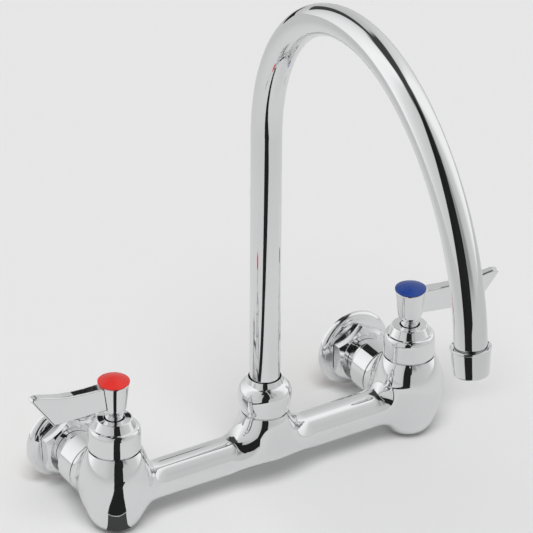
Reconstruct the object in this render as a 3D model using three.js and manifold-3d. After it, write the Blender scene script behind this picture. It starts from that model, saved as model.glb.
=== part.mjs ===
// Two-handle commercial wall faucet: a cast body with two ceramic disc valves and a swivelling
// gooseneck spout. Millimetres. +X runs from the hot valve to the cold one, +Y goes into the
// wall, +Z is up. The origin is on the wall face, midway between the two inlets.

import * as THREE from 'three';
import { mergeVertices } from 'three/addons/utils/BufferGeometryUtils.js';
import Module from 'manifold-3d';

const wasm = await Module();
wasm.setup();

// Layout
const INLET_CENTRES = 203.2;
const WALL_TO_AXIS = 62;
const INLET_RISE = 3.5; // inlet axes above the axis of the body's arm
const SPOUT_YAW = -5; // degrees about +Z, where the spout stands at rest
const COLD_LEVER_TURN = -15; // degrees about +Z, the cold lever a little open
const GAP = 0.3; // clearance at every seat and joint face

// Body casting, heights from the arm's axis
const ARM_R = 11.5;
const ARM_BORE_R = 6.5;
const ARM_FLARE_R = 14.6; // the arm's ends, hidden inside the bulbs
const ARM_FLARE_LENGTH = 14;
const BULB_R = 21.4;
const BULB_Z = 9.5;
const BULB_DEPTH = 22.8;
const SEAM_Z = 30.5; // where the bonnets meet the body
const CHAMBER_R = 10.5;
const SEAT_Z = 12;
const SEAT_HOLE_R = 6;
const SEAT_WALL = 2;
const LOWER_CHAMBER_R = 7.5;
const LOWER_CHAMBER_Z = -14;
const WATERWAY_R = 4;

// Centre boss and spout socket
const BOSS_R = 13.8;
const BOSS_TOP = 24;
const BOSS_FLARE = 14; // how far the boss spreads along the arm
const SPIGOT_R = 11.2;
const SPIGOT_H = 9;
const SOCKET_R = 9;
const SOCKET_Z = 10;

// Inlets, distances from the valve axis towards the wall
const INLET_R = 16.8;
const INLET_FACE = 23.3;
const INLET_THREAD_R = 9.6;
const INLET_THREAD_DEPTH = 8;
const INLET_BORE_R = 6.5;
const SHANK_END = 38.4; // where its thick part steps down to its neck
const SHANK_EDGE = 0.6; // rounding of that step
const SHANK_NECK_R = 12.2;
const NUT_FRONT = 48;
const NUT_LENGTH = 8.2;
const NUT_FLATS = 34;
const HOT_NUT_TURN = -4; // degrees about the inlet's axis, as it was left when tightened
const NUT_LIP = 2.6;
const NUT_THREAD_R = 12.9;
const COLLAR_R = 12.5;
const COLLAR_T = 1.6;
const WASHER_T = 1.4;
const FLANGE_R = 24.4;
const FLANGE_WALL = 1.6;
const FLANGE_HOLE_R = 13.2;
const COUPLING_R = 12.5;
const COUPLING_SHOULDER_R = 16;
const SUPPLY_BORE_R = 9.4; // 1/2 in pipe thread, drawn plain
const SUPPLY_BORE_DEPTH = 6.5;

// Bonnet and valve cartridge
const BONNET_R = 15.4;
const BONNET_H = 19.5;
const BONNET_WALL = 2.6;
const BONNET_SHOULDER_W = 2.3; // the rounded shoulder, across and up
const BONNET_SHOULDER_H = 4;
const BONNET_CAP_W = 3; // the chamfered cap above it, across and up
const BONNET_CAP_H = 4.3;
const BONNET_HOLE_R = 5.8;
const SEAL_T = 1.7;
const DISC_T = 2.7;
const DISC_R = 7.9;
const DISC_PORT_R = 1.9;
const STEM_FOOT_T = 2.7;
const STEM_R = 4.1;
const STEM_TOP_R = 3.5;
const CARTRIDGE_FLANGE_R = 11.8;
const CARTRIDGE_FLANGE_T = 3.6;
const CARTRIDGE_NECK_R = 7.6;
const CARTRIDGE_TOP = 42.3;
const CLIP_T = 0.8;
const CLIP_R = 5.6;

// Lever handle
const NECK_R = 5.4;
const NECK_DEPTH = 5; // how far the neck reaches down through the bonnet
const HUB_LIFT = 3.4;
const HUB_H = 20.9;
const HUB_TOP_R = 9.2;
const HUB_FOOT_R = 6.5;
const COUNTERBORE_R = 6.6;
const COUNTERBORE_DEPTH = 8.3;
const HUB_WEB = 2;
const LEVER_REACH = 54.5;
const BLADE_ROOT_T = 8;
const BLADE_TIP_T = 5.4;
const BLADE_DROP = 14.8; // height of the blade under the hub's top
const BLADE_RISE = 6.6; // how far the blade's outer end stands above the hub's top
const BLADE_SLANT = 0.25; // share of the reach that the blade's end slopes back over
const BLADE_EDGE = [[0.93, 1], [0.84, 0.8], [0.64, 0.33], [0.44, 0.14]]; // shares of reach and rise
const BLADE_TIP_H = 1.4; // height of the rounded tip
const BLADE_ROOT_FILLET = 1.6;
const SCREW_R = 1.9;
const SCREW_HEAD_R = 3.6;
const SCREW_HEAD_T = 2.8;
const SCREW_LENGTH = 12;
const BUTTON_R = 9.35;
const BUTTON_EDGE = 0.9;
const BUTTON_DOME = 2;
const BUTTON_PLUG = 4;

// Spout and its swivel joint
const TUBE_R = 9;
const TUBE_WALL = 1;
const RISER_TOP = 206.1;
const CREST_R = 112.4; // bend radius of the tube's centre line over the crest
const CREST_SWEEP = 118; // degrees
const LEG_R = 136.2; // bend radius down the front leg
const LEG_SWEEP = 55.8; // degrees
const LEG_END = 11.4; // straight run at the tube's end
const SPOUT_NUT_TOP = 46.8;
const SPOUT_NUT_R = 15.9;
const SPOUT_NUT_FOOT_R = 14.1;
const SPOUT_NUT_FOOT_H = 3.4;
const SPOUT_NUT_BELLY_Z = 36.1; // height of the nut's widest point
const SPOUT_NUT_BELLY_W = 7.9; // the belly's section is two parts of ellipses: across,
const SPOUT_NUT_BELLY_LOW = 15.1; // down
const SPOUT_NUT_BELLY_HIGH = 8.2; // and up
const SPOUT_NUT_NECK_H = 2.8; // the small cone above the belly
const SPOUT_NUT_THREAD_R = 11.6;
const SPOUT_NUT_HOLE_R = 9.45;
const FERRULE_R = 8.6;
const FERRULE_BORE_R = 6.2;
const FERRULE_FLANGE_R = 10.9;
const FERRULE_FLANGE_T = 2.4;
const FERRULE_SPIGOT_H = 9; // the stretch inside the tube
const BEARING_T = 1;
const RETAINER_T = 1.5;
const RING_R = 0.6; // section radius of the O-rings

// Outlet
const OUTLET_RIM_R = 11.1;
const OUTLET_LIP = 1.2; // height of the rim's flat edge
const OUTLET_FOOT_R = 9.5;
const OUTLET_FOOT_EDGE = 1.6; // rounding at the mouth
const OUTLET_DISH = 2.2; // depth of the hollow round the tube
const OUTLET_LENGTH = 16.2;
const TUBE_IN_COLLAR = 6; // how far the tube reaches down inside the collar
const OUTLET_WALL = 0.8;
const OUTLET_MOUTH_R = 7.2;
const NIPPLE_BORE_R = 6.3;
const NIPPLE_FLANGE_T = 2.8;
const AERATOR_WASHER_T = 1.1;
const AERATOR_T = 2.6;
const AERATOR_HOLE_R = 1.3;
const AERATOR_CIRCLE_R = 4.6; // where the holes stand
const SCREEN_T = 0.6;
const SCREEN_HOLE_R = 0.8;
const SCREEN_CIRCLE_R = 3.4;
const OUTLET_HOLES = 6;

const ROUND = 24; // sides of a large turned piece
const SMALL = 14; // sides of a small one
const DEG = Math.PI / 180;

// ---------------------------------------------------------------- shapes

// A closed geometry as a solid that can be cut and joined, its faces turned outwards.
function solid(geometry) {
  const bare = geometry.clone();
  bare.deleteAttribute('normal');
  bare.deleteAttribute('uv');
  const merged = mergeVertices(bare);
  const index = [];
  for (let i = 0; i < merged.index.count; i += 3) {
    const [a, b, c] = [0, 1, 2].map((k) => merged.index.getX(i + k));
    if (a !== b && b !== c && c !== a) index.push(a, b, c);
  }
  const vertices = Array.from({ length: merged.attributes.position.count }, (_, i) =>
    new THREE.Vector3().fromBufferAttribute(merged.attributes.position, i));
  let volume = 0;
  for (let i = 0; i < index.length; i += 3) {
    const [a, b, c] = [0, 1, 2].map((k) => vertices[index[i + k]]);
    volume += a.dot(b.clone().cross(c));
  }
  if (volume < 0) index.reverse();
  return new wasm.Manifold(new wasm.Mesh({
    numProp: 3,
    vertProperties: new Float32Array(merged.attributes.position.array),
    triVerts: new Uint32Array(index),
  }));
}

// A profile of [radius, height] points turned about +Z. It starts and ends on the axis, or it
// is a ring's section, which closes on itself.
function turned(profile, sides = SMALL) {
  const points = profile.map(([r, z]) => new THREE.Vector2(r, z));
  const onAxis = profile[0][0] === 0 && profile[profile.length - 1][0] === 0;
  if (!onAxis) points.push(points[0].clone());
  return solid(new THREE.LatheGeometry(points, sides).rotateX(Math.PI / 2));
}

// The same, turned about +Y, with the second number of each point measured towards the wall.
function turnedToWall(profile, sides = SMALL) {
  return turned(profile, sides).rotate([-90, 0, 0]);
}

function disc(r, low, high, sides = SMALL) {
  return turned([[0, low], [r, low], [r, high], [0, high]], sides);
}

function ring(inner, outer, low, high, sides = SMALL) {
  return turned([[inner, low], [outer, low], [outer, high], [inner, high]], sides);
}

function oRing(centreR, z) {
  const corner = (k) => [centreR + RING_R * Math.cos(k * 60 * DEG), z + RING_R * Math.sin(k * 60 * DEG)];
  return turned([0, 1, 2, 3, 4, 5].map(corner));
}

// A rod between two points, for bores that slope.
function rod(from, to, r, sides = SMALL) {
  const start = new THREE.Vector3(...from);
  const along = new THREE.Vector3(...to).sub(start);
  const geometry = new THREE.CylinderGeometry(r, r, along.length(), sides);
  const turn = new THREE.Quaternion().setFromUnitVectors(
    new THREE.Vector3(0, 1, 0), along.clone().normalize());
  geometry.applyQuaternion(turn);
  const middle = start.add(along.multiplyScalar(0.5));
  return solid(geometry.translate(middle.x, middle.y, middle.z));
}

function block(low, high) {
  const size = high.map((v, k) => v - low[k]);
  const centre = high.map((v, k) => (v + low[k]) / 2);
  return solid(new THREE.BoxGeometry(...size).translate(...centre));
}

// Points on an arc of a profile, angles in degrees.
function arc(r0, z0, radius, from, to, steps) {
  const point = (k) => {
    const angle = (from + (to - from) * (k / steps)) * DEG;
    return [r0 + radius * Math.cos(angle), z0 + radius * Math.sin(angle)];
  };
  return Array.from({ length: steps + 1 }, (_, k) => point(k));
}

// An outline of [x, y] points, raised along +Z.
function raised(outline, low, high) {
  const shape = new THREE.Shape(outline.map(([x, y]) => new THREE.Vector2(x, y)));
  const geometry = new THREE.ExtrudeGeometry(shape, { depth: high - low, bevelEnabled: false });
  return solid(geometry.translate(0, 0, low));
}

// ---------------------------------------------------------------- materials

const finish = (color, roughness, metalness) => () =>
  new THREE.MeshStandardMaterial({ color, roughness, metalness });
const chrome = finish(0xd9dbdc, 0.06, 1);
const brass = finish(0xb8923e, 0.35, 1);
const steel = finish(0xa9abac, 0.3, 1);
const rubber = finish(0x1c1c1d, 0.8, 0);
const ceramic = finish(0xe9e6dc, 0.3, 0);
const nylon = finish(0xe4e2dc, 0.5, 0);
const red = finish(0xd8201c, 0.25, 0);
const blue = finish(0x25429c, 0.25, 0);

function piece(name, shape, material) {
  const mesh = shape.getMesh();
  const geometry = new THREE.BufferGeometry();
  geometry.setAttribute('position', new THREE.BufferAttribute(mesh.vertProperties, 3));
  geometry.setIndex(new THREE.BufferAttribute(mesh.triVerts, 1));
  geometry.computeVertexNormals();
  const part = new THREE.Mesh(geometry, material());
  part.name = name;
  return part;
}

// ---------------------------------------------------------------- body

// A valve's pear-shaped bulb: a curve through shares of its radius and depth, then a shoulder
// that draws in to the bonnet.
function bulb() {
  const depth = BULB_Z + BULB_DEPTH;
  const lower = [[0, 0], [0.33, 0.03], [0.56, 0.12], [0.72, 0.26], [0.84, 0.46], [0.94, 0.72], [1, 1]]
    .map(([r, z]) => [r * BULB_R, z * depth - BULB_DEPTH]);
  const draw = BULB_R - BONNET_R;
  const rise = SEAM_Z - BULB_Z;
  const upper = [[0.1, 0.3], [0.42, 0.65], [1, 1]]
    .map(([r, z]) => [BULB_R - r * draw, BULB_Z + z * rise]);
  const nodes = [...lower, ...upper].map(([r, z]) => new THREE.Vector2(r, z));
  const curve = new THREE.SplineCurve(nodes).getPoints(12).map((p) => [Math.max(p.x, 0), p.y]);
  curve[0] = [0, -BULB_DEPTH];
  curve[curve.length - 1] = [BONNET_R, SEAM_Z];
  return turned([...curve, [0, SEAM_Z]], ROUND);
}

// The arm between the valves. Its ends flare along a quarter of an ellipse into the bulbs.
function arm() {
  const half = INLET_CENTRES / 2;
  const start = Math.sqrt(BULB_R ** 2 - ARM_FLARE_R ** 2) - GAP * 5;
  const flare = (side) => [0, 25, 50, 90].map((angle) => [
    ARM_R + (ARM_FLARE_R - ARM_R) * (1 - Math.sin(angle * DEG)),
    side * (half - start - ARM_FLARE_LENGTH * (1 - Math.cos(angle * DEG))),
  ]);
  return turned([
    [0, -half], [ARM_R, -half], ...flare(-1), ...flare(1).reverse(), [ARM_R, half], [0, half],
  ], ROUND).rotate([0, 90, 0]);
}

// The centre boss: each level is an ellipse, which widens along the arm towards its foot.
function boss() {
  const levels = 4;
  const foot = -ARM_R / 2;
  const profile = [[0, foot], [1, foot]];
  for (let k = 0; k <= levels; k += 1) profile.push([1, (BOSS_TOP * k) / levels]);
  profile.push([0, BOSS_TOP]);
  const points = profile.map(([r, z]) => new THREE.Vector2(r, z));
  const geometry = new THREE.LatheGeometry(points, ROUND).rotateX(Math.PI / 2);
  const position = geometry.attributes.position;
  for (let i = 0; i < position.count; i += 1) {
    const up = THREE.MathUtils.clamp(position.getZ(i) / BOSS_TOP, 0, 1);
    const along = BOSS_R + BOSS_FLARE * (1 - up) ** 2.4;
    const across = THREE.MathUtils.lerp(ARM_R - GAP, BOSS_R, Math.sqrt(up));
    position.setX(i, position.getX(i) * along);
    position.setY(i, position.getY(i) * across);
  }
  return solid(geometry);
}

function faucetBody() {
  const half = INLET_CENTRES / 2;
  const inlet = turnedToWall([[0, 0], [INLET_R, 0], [INLET_R, INLET_FACE], [0, INLET_FACE]], ROUND)
    .translate([0, 0, INLET_RISE]);
  const valve = bulb().add(inlet);
  let shape = arm().add(boss()).add(disc(SPIGOT_R, 0, BOSS_TOP + SPIGOT_H, ROUND));
  for (const side of [-1, 1]) shape = shape.add(valve.translate([side * half, 0, 0]));

  const cuts = [
    rod([-half + BULB_R, 0, 0], [half - BULB_R, 0, 0], ARM_BORE_R),
    disc(SOCKET_R, SOCKET_Z, BOSS_TOP + SPIGOT_H + 1, ROUND),
    disc(ARM_BORE_R, 0, SOCKET_Z + 1),
  ];
  for (const side of [-1, 1]) {
    const chamber = disc(CHAMBER_R, SEAT_Z, SEAM_Z + 1, ROUND)
      .add(disc(SEAT_HOLE_R, SEAT_Z - SEAT_WALL - 1, SEAT_Z + 1))
      .add(disc(LOWER_CHAMBER_R, LOWER_CHAMBER_Z, SEAT_Z - SEAT_WALL));
    const threadEnd = INLET_FACE - INLET_THREAD_DEPTH;
    const bore = turnedToWall([
      [0, 0], [INLET_BORE_R, 0], [INLET_BORE_R, threadEnd], [INLET_THREAD_R, threadEnd],
      [INLET_THREAD_R, INLET_FACE + 1], [0, INLET_FACE + 1]]).translate([0, 0, INLET_RISE]);
    const waterway = rod(
      [-side * (BULB_R + WATERWAY_R), 0, 0],
      [-side * (CHAMBER_R - 1), 0, SEAT_Z + WATERWAY_R],
      WATERWAY_R);
    cuts.push(chamber.add(bore).add(waterway).translate([side * half, 0, 0]));
  }
  for (const cut of cuts) shape = shape.subtract(cut);
  return shape;
}

// ---------------------------------------------------------------- inlets

// A thick turned stub that ends in a round edge, then a neck that goes in under the nut.
function inletShank() {
  const end = NUT_FRONT - GAP;
  const neckR = INLET_THREAD_R - GAP;
  const collar = NUT_FRONT + NUT_LIP + GAP;
  return turnedToWall([
    [INLET_BORE_R, INLET_FACE - INLET_THREAD_DEPTH + GAP], [neckR, INLET_FACE - INLET_THREAD_DEPTH + GAP],
    [neckR, INLET_FACE + GAP], [INLET_R, INLET_FACE + GAP], [INLET_R, SHANK_END - SHANK_EDGE],
    [INLET_R - SHANK_EDGE, SHANK_END], [SHANK_NECK_R, SHANK_END], [SHANK_NECK_R, end], [neckR, end],
    [neckR, collar], [COLLAR_R, collar], [COLLAR_R, collar + COLLAR_T],
    [INLET_BORE_R, collar + COLLAR_T]], ROUND);
}

// The hexagon has its corners at the top and bottom, and a turned chamfer on its front.
function unionNut() {
  const cornerR = NUT_FLATS / Math.sqrt(3);
  const back = NUT_FRONT + NUT_LENGTH;
  const corner = (k) => [cornerR * Math.sin(k * 60 * DEG), cornerR * Math.cos(k * 60 * DEG)];
  const hexagon = raised([0, 1, 2, 3, 4, 5].map(corner), NUT_FRONT, back).rotate([-90, 0, 0]);
  const chamfer = cornerR - NUT_FLATS / 2 + 1.2;
  const envelope = turnedToWall([
    [0, NUT_FRONT], [cornerR - chamfer, NUT_FRONT], [cornerR, NUT_FRONT + chamfer * 0.7],
    [cornerR, back], [0, back]], ROUND);
  const bore = turnedToWall([
    [0, NUT_FRONT - 1], [INLET_THREAD_R, NUT_FRONT - 1], [INLET_THREAD_R, NUT_FRONT + NUT_LIP],
    [NUT_THREAD_R, NUT_FRONT + NUT_LIP], [NUT_THREAD_R, back + 1], [0, back + 1]]);
  return hexagon.intersect(envelope).subtract(bore);
}

const WASHER_FRONT = NUT_FRONT + NUT_LIP + GAP + COLLAR_T + GAP;
const COUPLING_FRONT = WASHER_FRONT + WASHER_T + GAP;

function unionWasher() {
  return ring(INLET_BORE_R, COLLAR_R, WASHER_FRONT, WASHER_FRONT + WASHER_T).rotate([-90, 0, 0]);
}

function wallCoupling() {
  const shoulder = NUT_FRONT + NUT_LENGTH + GAP + FLANGE_WALL + GAP;
  const back = WALL_TO_AXIS - GAP;
  return turnedToWall([
    [INLET_BORE_R, COUPLING_FRONT], [COUPLING_R, COUPLING_FRONT], [COUPLING_R, shoulder],
    [COUPLING_SHOULDER_R, shoulder], [COUPLING_SHOULDER_R, back], [SUPPLY_BORE_R, back],
    [SUPPLY_BORE_R, back - SUPPLY_BORE_DEPTH], [INLET_BORE_R, back - SUPPLY_BORE_DEPTH]], 20);
}

// A pressed cover with a rolled edge, open to the wall behind.
function wallFlange() {
  const front = NUT_FRONT + NUT_LENGTH + GAP;
  const roll = (WALL_TO_AXIS - front) * 0.6;
  const rim = arc(FLANGE_R - roll, front + roll, roll, -75, 0, 3);
  return turnedToWall([
    [FLANGE_HOLE_R, front], ...rim, [FLANGE_R, WALL_TO_AXIS], [FLANGE_R - FLANGE_WALL, WALL_TO_AXIS],
    [FLANGE_R - FLANGE_WALL - roll * 0.4, front + FLANGE_WALL], [FLANGE_HOLE_R, front + FLANGE_WALL],
  ], ROUND);
}

// ---------------------------------------------------------------- valves

const BONNET_TOP = SEAM_Z + BONNET_H;
const BARREL_FOOT = SEAT_Z + GAP + SEAL_T + GAP;
const MOVING_DISC_Z = BARREL_FOOT + DISC_T + GAP;
const STEM_FOOT_Z = MOVING_DISC_Z + DISC_T + GAP;
const CAVITY_TOP = STEM_FOOT_Z + STEM_FOOT_T + GAP;
const CLIP_Z = CARTRIDGE_TOP + GAP;
const STEM_RING_Z = CARTRIDGE_TOP - 5;
const HUB_FOOT = BONNET_TOP + HUB_LIFT;
const HUB_TOP = HUB_FOOT + HUB_H;
const SOCKET_TOP = HUB_TOP - COUNTERBORE_DEPTH - HUB_WEB;
const STEM_TOP = SOCKET_TOP - GAP;

// A stepped dome: flat ring round the stem, chamfer, ledge, rounded shoulder, straight wall.
function bonnet() {
  const low = SEAM_Z + GAP;
  const ledgeR = BONNET_R - BONNET_SHOULDER_W;
  const ledgeZ = BONNET_TOP - BONNET_CAP_H;
  const wallTop = ledgeZ - BONNET_SHOULDER_H;
  const capR = ledgeR - BONNET_CAP_W;
  const shoulder = arc(0, 0, 1, 0, 78, 3)
    .map(([c, s]) => [ledgeR + BONNET_SHOULDER_W * c, wallTop + BONNET_SHOULDER_H * s]);
  return turned([
    [BONNET_R - BONNET_WALL, low], [BONNET_R, low], ...shoulder, [ledgeR - 0.6, ledgeZ + 0.1],
    [capR + 0.4, BONNET_TOP - 0.3], [capR, BONNET_TOP], [BONNET_HOLE_R, BONNET_TOP],
    [BONNET_HOLE_R, BONNET_TOP - BONNET_WALL], [capR, BONNET_TOP - BONNET_WALL],
    [BONNET_R - BONNET_WALL, wallTop]], ROUND);
}

// The brass headwork: a barrel in the body's chamber with two side ports, a seating flange and
// a neck that guides the stem.
function cartridgeBody() {
  const barrelR = CHAMBER_R - GAP;
  const flange = SEAM_Z + GAP;
  const barrel = turned([
    [DISC_R + GAP, BARREL_FOOT], [barrelR, BARREL_FOOT], [barrelR, flange], [CARTRIDGE_FLANGE_R, flange],
    [CARTRIDGE_FLANGE_R, flange + CARTRIDGE_FLANGE_T], [CARTRIDGE_NECK_R, flange + CARTRIDGE_FLANGE_T],
    [CARTRIDGE_NECK_R, CARTRIDGE_TOP], [STEM_R + GAP, CARTRIDGE_TOP], [STEM_R + GAP, CAVITY_TOP],
    [DISC_R + GAP, CAVITY_TOP]], 20);
  const port = block([-CHAMBER_R - 1, -4, MOVING_DISC_Z], [CHAMBER_R + 1, 4, STEM_FOOT_Z + STEM_FOOT_T]);
  return barrel.subtract(port);
}

function seatSeal() {
  return ring(SEAT_HOLE_R, CHAMBER_R - 2 * GAP, SEAT_Z + GAP, SEAT_Z + GAP + SEAL_T);
}

// Both ceramic discs have the same pair of ports, which face each other when the valve is open.
function ceramicDisc(z) {
  let shape = disc(DISC_R, z, z + DISC_T, 20);
  for (const side of [-1, 1]) {
    shape = shape.subtract(disc(DISC_PORT_R, z - 1, z + DISC_T + 1, 10).translate([0, side * DISC_R / 2, 0]));
  }
  return shape;
}

function stem() {
  const groove = STEM_R - 1.1;
  const rootR = STEM_R - 0.9;
  const ringHalf = RING_R + GAP / 2;
  const shape = turned([
    [0, STEM_FOOT_Z], [DISC_R, STEM_FOOT_Z], [DISC_R, STEM_FOOT_Z + STEM_FOOT_T],
    [STEM_R, STEM_FOOT_Z + STEM_FOOT_T], [STEM_R, STEM_RING_Z - ringHalf], [groove, STEM_RING_Z - ringHalf],
    [groove, STEM_RING_Z + ringHalf], [STEM_R, STEM_RING_Z + ringHalf], [STEM_R, CLIP_Z - GAP / 2],
    [rootR, CLIP_Z - GAP / 2], [rootR, CLIP_Z + CLIP_T + GAP / 2], [STEM_TOP_R, CLIP_Z + CLIP_T + GAP / 2],
    [STEM_TOP_R, STEM_TOP], [0, STEM_TOP]], 14);
  return shape.subtract(disc(SCREW_R + GAP, STEM_TOP - SCREW_LENGTH, STEM_TOP + 1, 12));
}

// A clip with one open side, sprung into the stem's groove above the cartridge.
function stemClip() {
  const inner = STEM_R - 0.9 + GAP / 2;
  const mouth = block([0, -inner, CLIP_Z - 1], [CLIP_R + 1, inner, CLIP_Z + CLIP_T + 1]);
  return ring(inner, CLIP_R, CLIP_Z, CLIP_Z + CLIP_T).subtract(mouth);
}

// The hub tapers down to a neck that passes into the bonnet; the blade stands on edge, thins
// towards its tip and rises at its outer end. It points along +X.
function lever() {
  const bladeFoot = HUB_TOP - BLADE_DROP;
  const crest = HUB_TOP + BLADE_RISE;
  const tip = LEVER_REACH;
  const hub = turned([
    [0, BONNET_TOP - NECK_DEPTH], [NECK_R, BONNET_TOP - NECK_DEPTH], [NECK_R, HUB_FOOT - 0.4],
    [HUB_FOOT_R - 0.6, HUB_FOOT], [HUB_FOOT_R, HUB_FOOT + 2.4],
    [HUB_TOP_R - 0.2, HUB_TOP - 1.6], [HUB_TOP_R, HUB_TOP - 0.8], [HUB_TOP_R - 0.3, HUB_TOP],
    [0, HUB_TOP]], ROUND);
  const root = BLADE_ROOT_T / 2;
  const end = BLADE_TIP_T / 2;
  const hubR = THREE.MathUtils.lerp(HUB_FOOT_R, HUB_TOP_R, (bladeFoot - HUB_FOOT) / HUB_H);
  const half = [
    [0, root + BLADE_ROOT_FILLET], [hubR - BLADE_ROOT_FILLET * 1.5, root + BLADE_ROOT_FILLET],
    [hubR + BLADE_ROOT_FILLET / 2, root + BLADE_ROOT_FILLET / 3],
    [hubR + BLADE_ROOT_FILLET * 2, root], [tip - BLADE_TIP_H, end], [tip, end / 2]];
  const plan = [...half.map(([x, y]) => [x, -y]), ...half.toReversed()];
  const edge = BLADE_EDGE.map(([reach, rise]) => [tip * reach, HUB_TOP + BLADE_RISE * rise]);
  const side = [
    [0, bladeFoot], [tip * (1 - BLADE_SLANT), bladeFoot], [tip - BLADE_TIP_H / 2, crest - 2 * BLADE_TIP_H],
    [tip, crest - BLADE_TIP_H], ...edge, [HUB_TOP_R + BLADE_ROOT_FILLET * 1.5, HUB_TOP], [0, HUB_TOP]];
  const blade = raised(plan, bladeFoot - 1, crest + 1)
    .intersect(raised(side, -BLADE_ROOT_T * 2, BLADE_ROOT_T * 2).rotate([90, 0, 0]));
  return hub.add(blade)
    .subtract(disc(STEM_TOP_R + GAP, BONNET_TOP - NECK_DEPTH - 1, SOCKET_TOP))
    .subtract(disc(SCREW_R + GAP, SOCKET_TOP - 1, HUB_TOP, 12))
    .subtract(disc(COUNTERBORE_R, HUB_TOP - COUNTERBORE_DEPTH, HUB_TOP + 1, ROUND));
}

function handleScrew() {
  const seat = HUB_TOP - COUNTERBORE_DEPTH + GAP;
  const head = seat + SCREW_HEAD_T;
  const foot = seat - GAP - HUB_WEB - SCREW_LENGTH + 2 * GAP;
  const slot = (x, y) => block([-x, -y, head - 1], [x, y, head + 1]);
  return turned([[0, foot], [SCREW_R, foot], [SCREW_R, seat], [SCREW_HEAD_R, seat],
    [SCREW_HEAD_R, head - 0.6], [SCREW_HEAD_R - 0.6, head], [0, head]], 12)
    .subtract(slot(SCREW_HEAD_R - 1.2, 0.5))
    .subtract(slot(0.5, SCREW_HEAD_R - 1.2));
}

// A domed cap whose hollow plug pushes into the hub's counterbore.
function indexButton() {
  const edge = HUB_TOP + GAP;
  const top = edge + BUTTON_EDGE;
  const plugR = COUNTERBORE_R - GAP;
  const dome = [0.92, 0.7, 0.38].map((share) => [BUTTON_R * share, top + BUTTON_DOME * (1 - share ** 2)]);
  return turned([
    [0, edge + 0.4], [plugR - 1.2, edge + 0.4], [plugR - 1.2, HUB_TOP - BUTTON_PLUG],
    [plugR, HUB_TOP - BUTTON_PLUG], [plugR, edge], [BUTTON_R - 0.3, edge], [BUTTON_R, top - 0.4],
    ...dome, [0, top + BUTTON_DOME]], 20);
}

function valveGroup(side, name, turn, nutTurn, buttonMaterial) {
  const group = new THREE.Group();
  group.position.set(side * INLET_CENTRES / 2, -WALL_TO_AXIS, -INLET_RISE);

  const inlet = new THREE.Group();
  inlet.position.z = INLET_RISE;
  const nut = piece(`${name}_union_nut`, unionNut(), chrome);
  nut.rotation.y = nutTurn * DEG;
  inlet.add(
    piece(`${name}_inlet_shank`, inletShank(), chrome),
    nut,
    piece(`${name}_union_washer`, unionWasher(), rubber),
    piece(`${name}_wall_coupling`, wallCoupling(), brass),
    piece(`${name}_wall_flange`, wallFlange(), chrome));

  // The lever's own group points outwards, away from the spout, and is then turned.
  const handle = new THREE.Group();
  handle.rotation.z = (side < 0 ? 180 : 0) * DEG + turn * DEG;
  handle.add(
    piece(`${name}_moving_disc`, ceramicDisc(MOVING_DISC_Z), ceramic),
    piece(`${name}_stem`, stem(), brass),
    piece(`${name}_stem_o_ring`, oRing(STEM_R - RING_R + GAP / 2, STEM_RING_Z), rubber),
    piece(`${name}_stem_clip`, stemClip(), steel),
    piece(`${name}_lever`, lever(), chrome),
    piece(`${name}_handle_screw`, handleScrew(), steel),
    piece(`${name}_index_button`, indexButton(), buttonMaterial));

  group.add(
    piece(`${name}_seat_seal`, seatSeal(), rubber),
    piece(`${name}_fixed_disc`, ceramicDisc(BARREL_FOOT), ceramic),
    piece(`${name}_cartridge_body`, cartridgeBody(), brass),
    piece(`${name}_bonnet`, bonnet(), chrome),
    inlet, handle);
  return group;
}

// ---------------------------------------------------------------- spout

const SPIGOT_TOP = BOSS_TOP + SPIGOT_H;
const FLANGE_FOOT = SPIGOT_TOP + GAP + BEARING_T + GAP;
const FLANGE_TOP = FLANGE_FOOT + FERRULE_FLANGE_T;
const RETAINER_Z = FLANGE_TOP + GAP;
const NUT_SHOULDER = RETAINER_Z + RETAINER_T + GAP;
const FERRULE_RINGS = [SOCKET_Z + 6, SOCKET_Z + 15];
const TUBE_FOOT = FLANGE_TOP + GAP;

// A ball-shaped nut on a short straight foot, with a small cone on top round the tube.
function spoutNut() {
  const foot = BOSS_TOP + GAP;
  const belly = arc(0, 0, 1, -33, 65, 7)
    .map(([c, s]) => [
      SPOUT_NUT_R - SPOUT_NUT_BELLY_W * (1 - c),
      SPOUT_NUT_BELLY_Z + s * (s < 0 ? SPOUT_NUT_BELLY_LOW : SPOUT_NUT_BELLY_HIGH),
    ]);
  return turned([
    [SPOUT_NUT_THREAD_R, foot], [SPOUT_NUT_FOOT_R, foot],
    [SPOUT_NUT_FOOT_R + 0.3, foot + SPOUT_NUT_FOOT_H * 0.7], ...belly,
    [SPOUT_NUT_HOLE_R + 1.5, SPOUT_NUT_TOP - SPOUT_NUT_NECK_H], [SPOUT_NUT_HOLE_R + 0.5, SPOUT_NUT_TOP],
    [SPOUT_NUT_HOLE_R, SPOUT_NUT_TOP], [SPOUT_NUT_HOLE_R, NUT_SHOULDER],
    [SPOUT_NUT_THREAD_R, NUT_SHOULDER]], ROUND);
}

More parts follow.
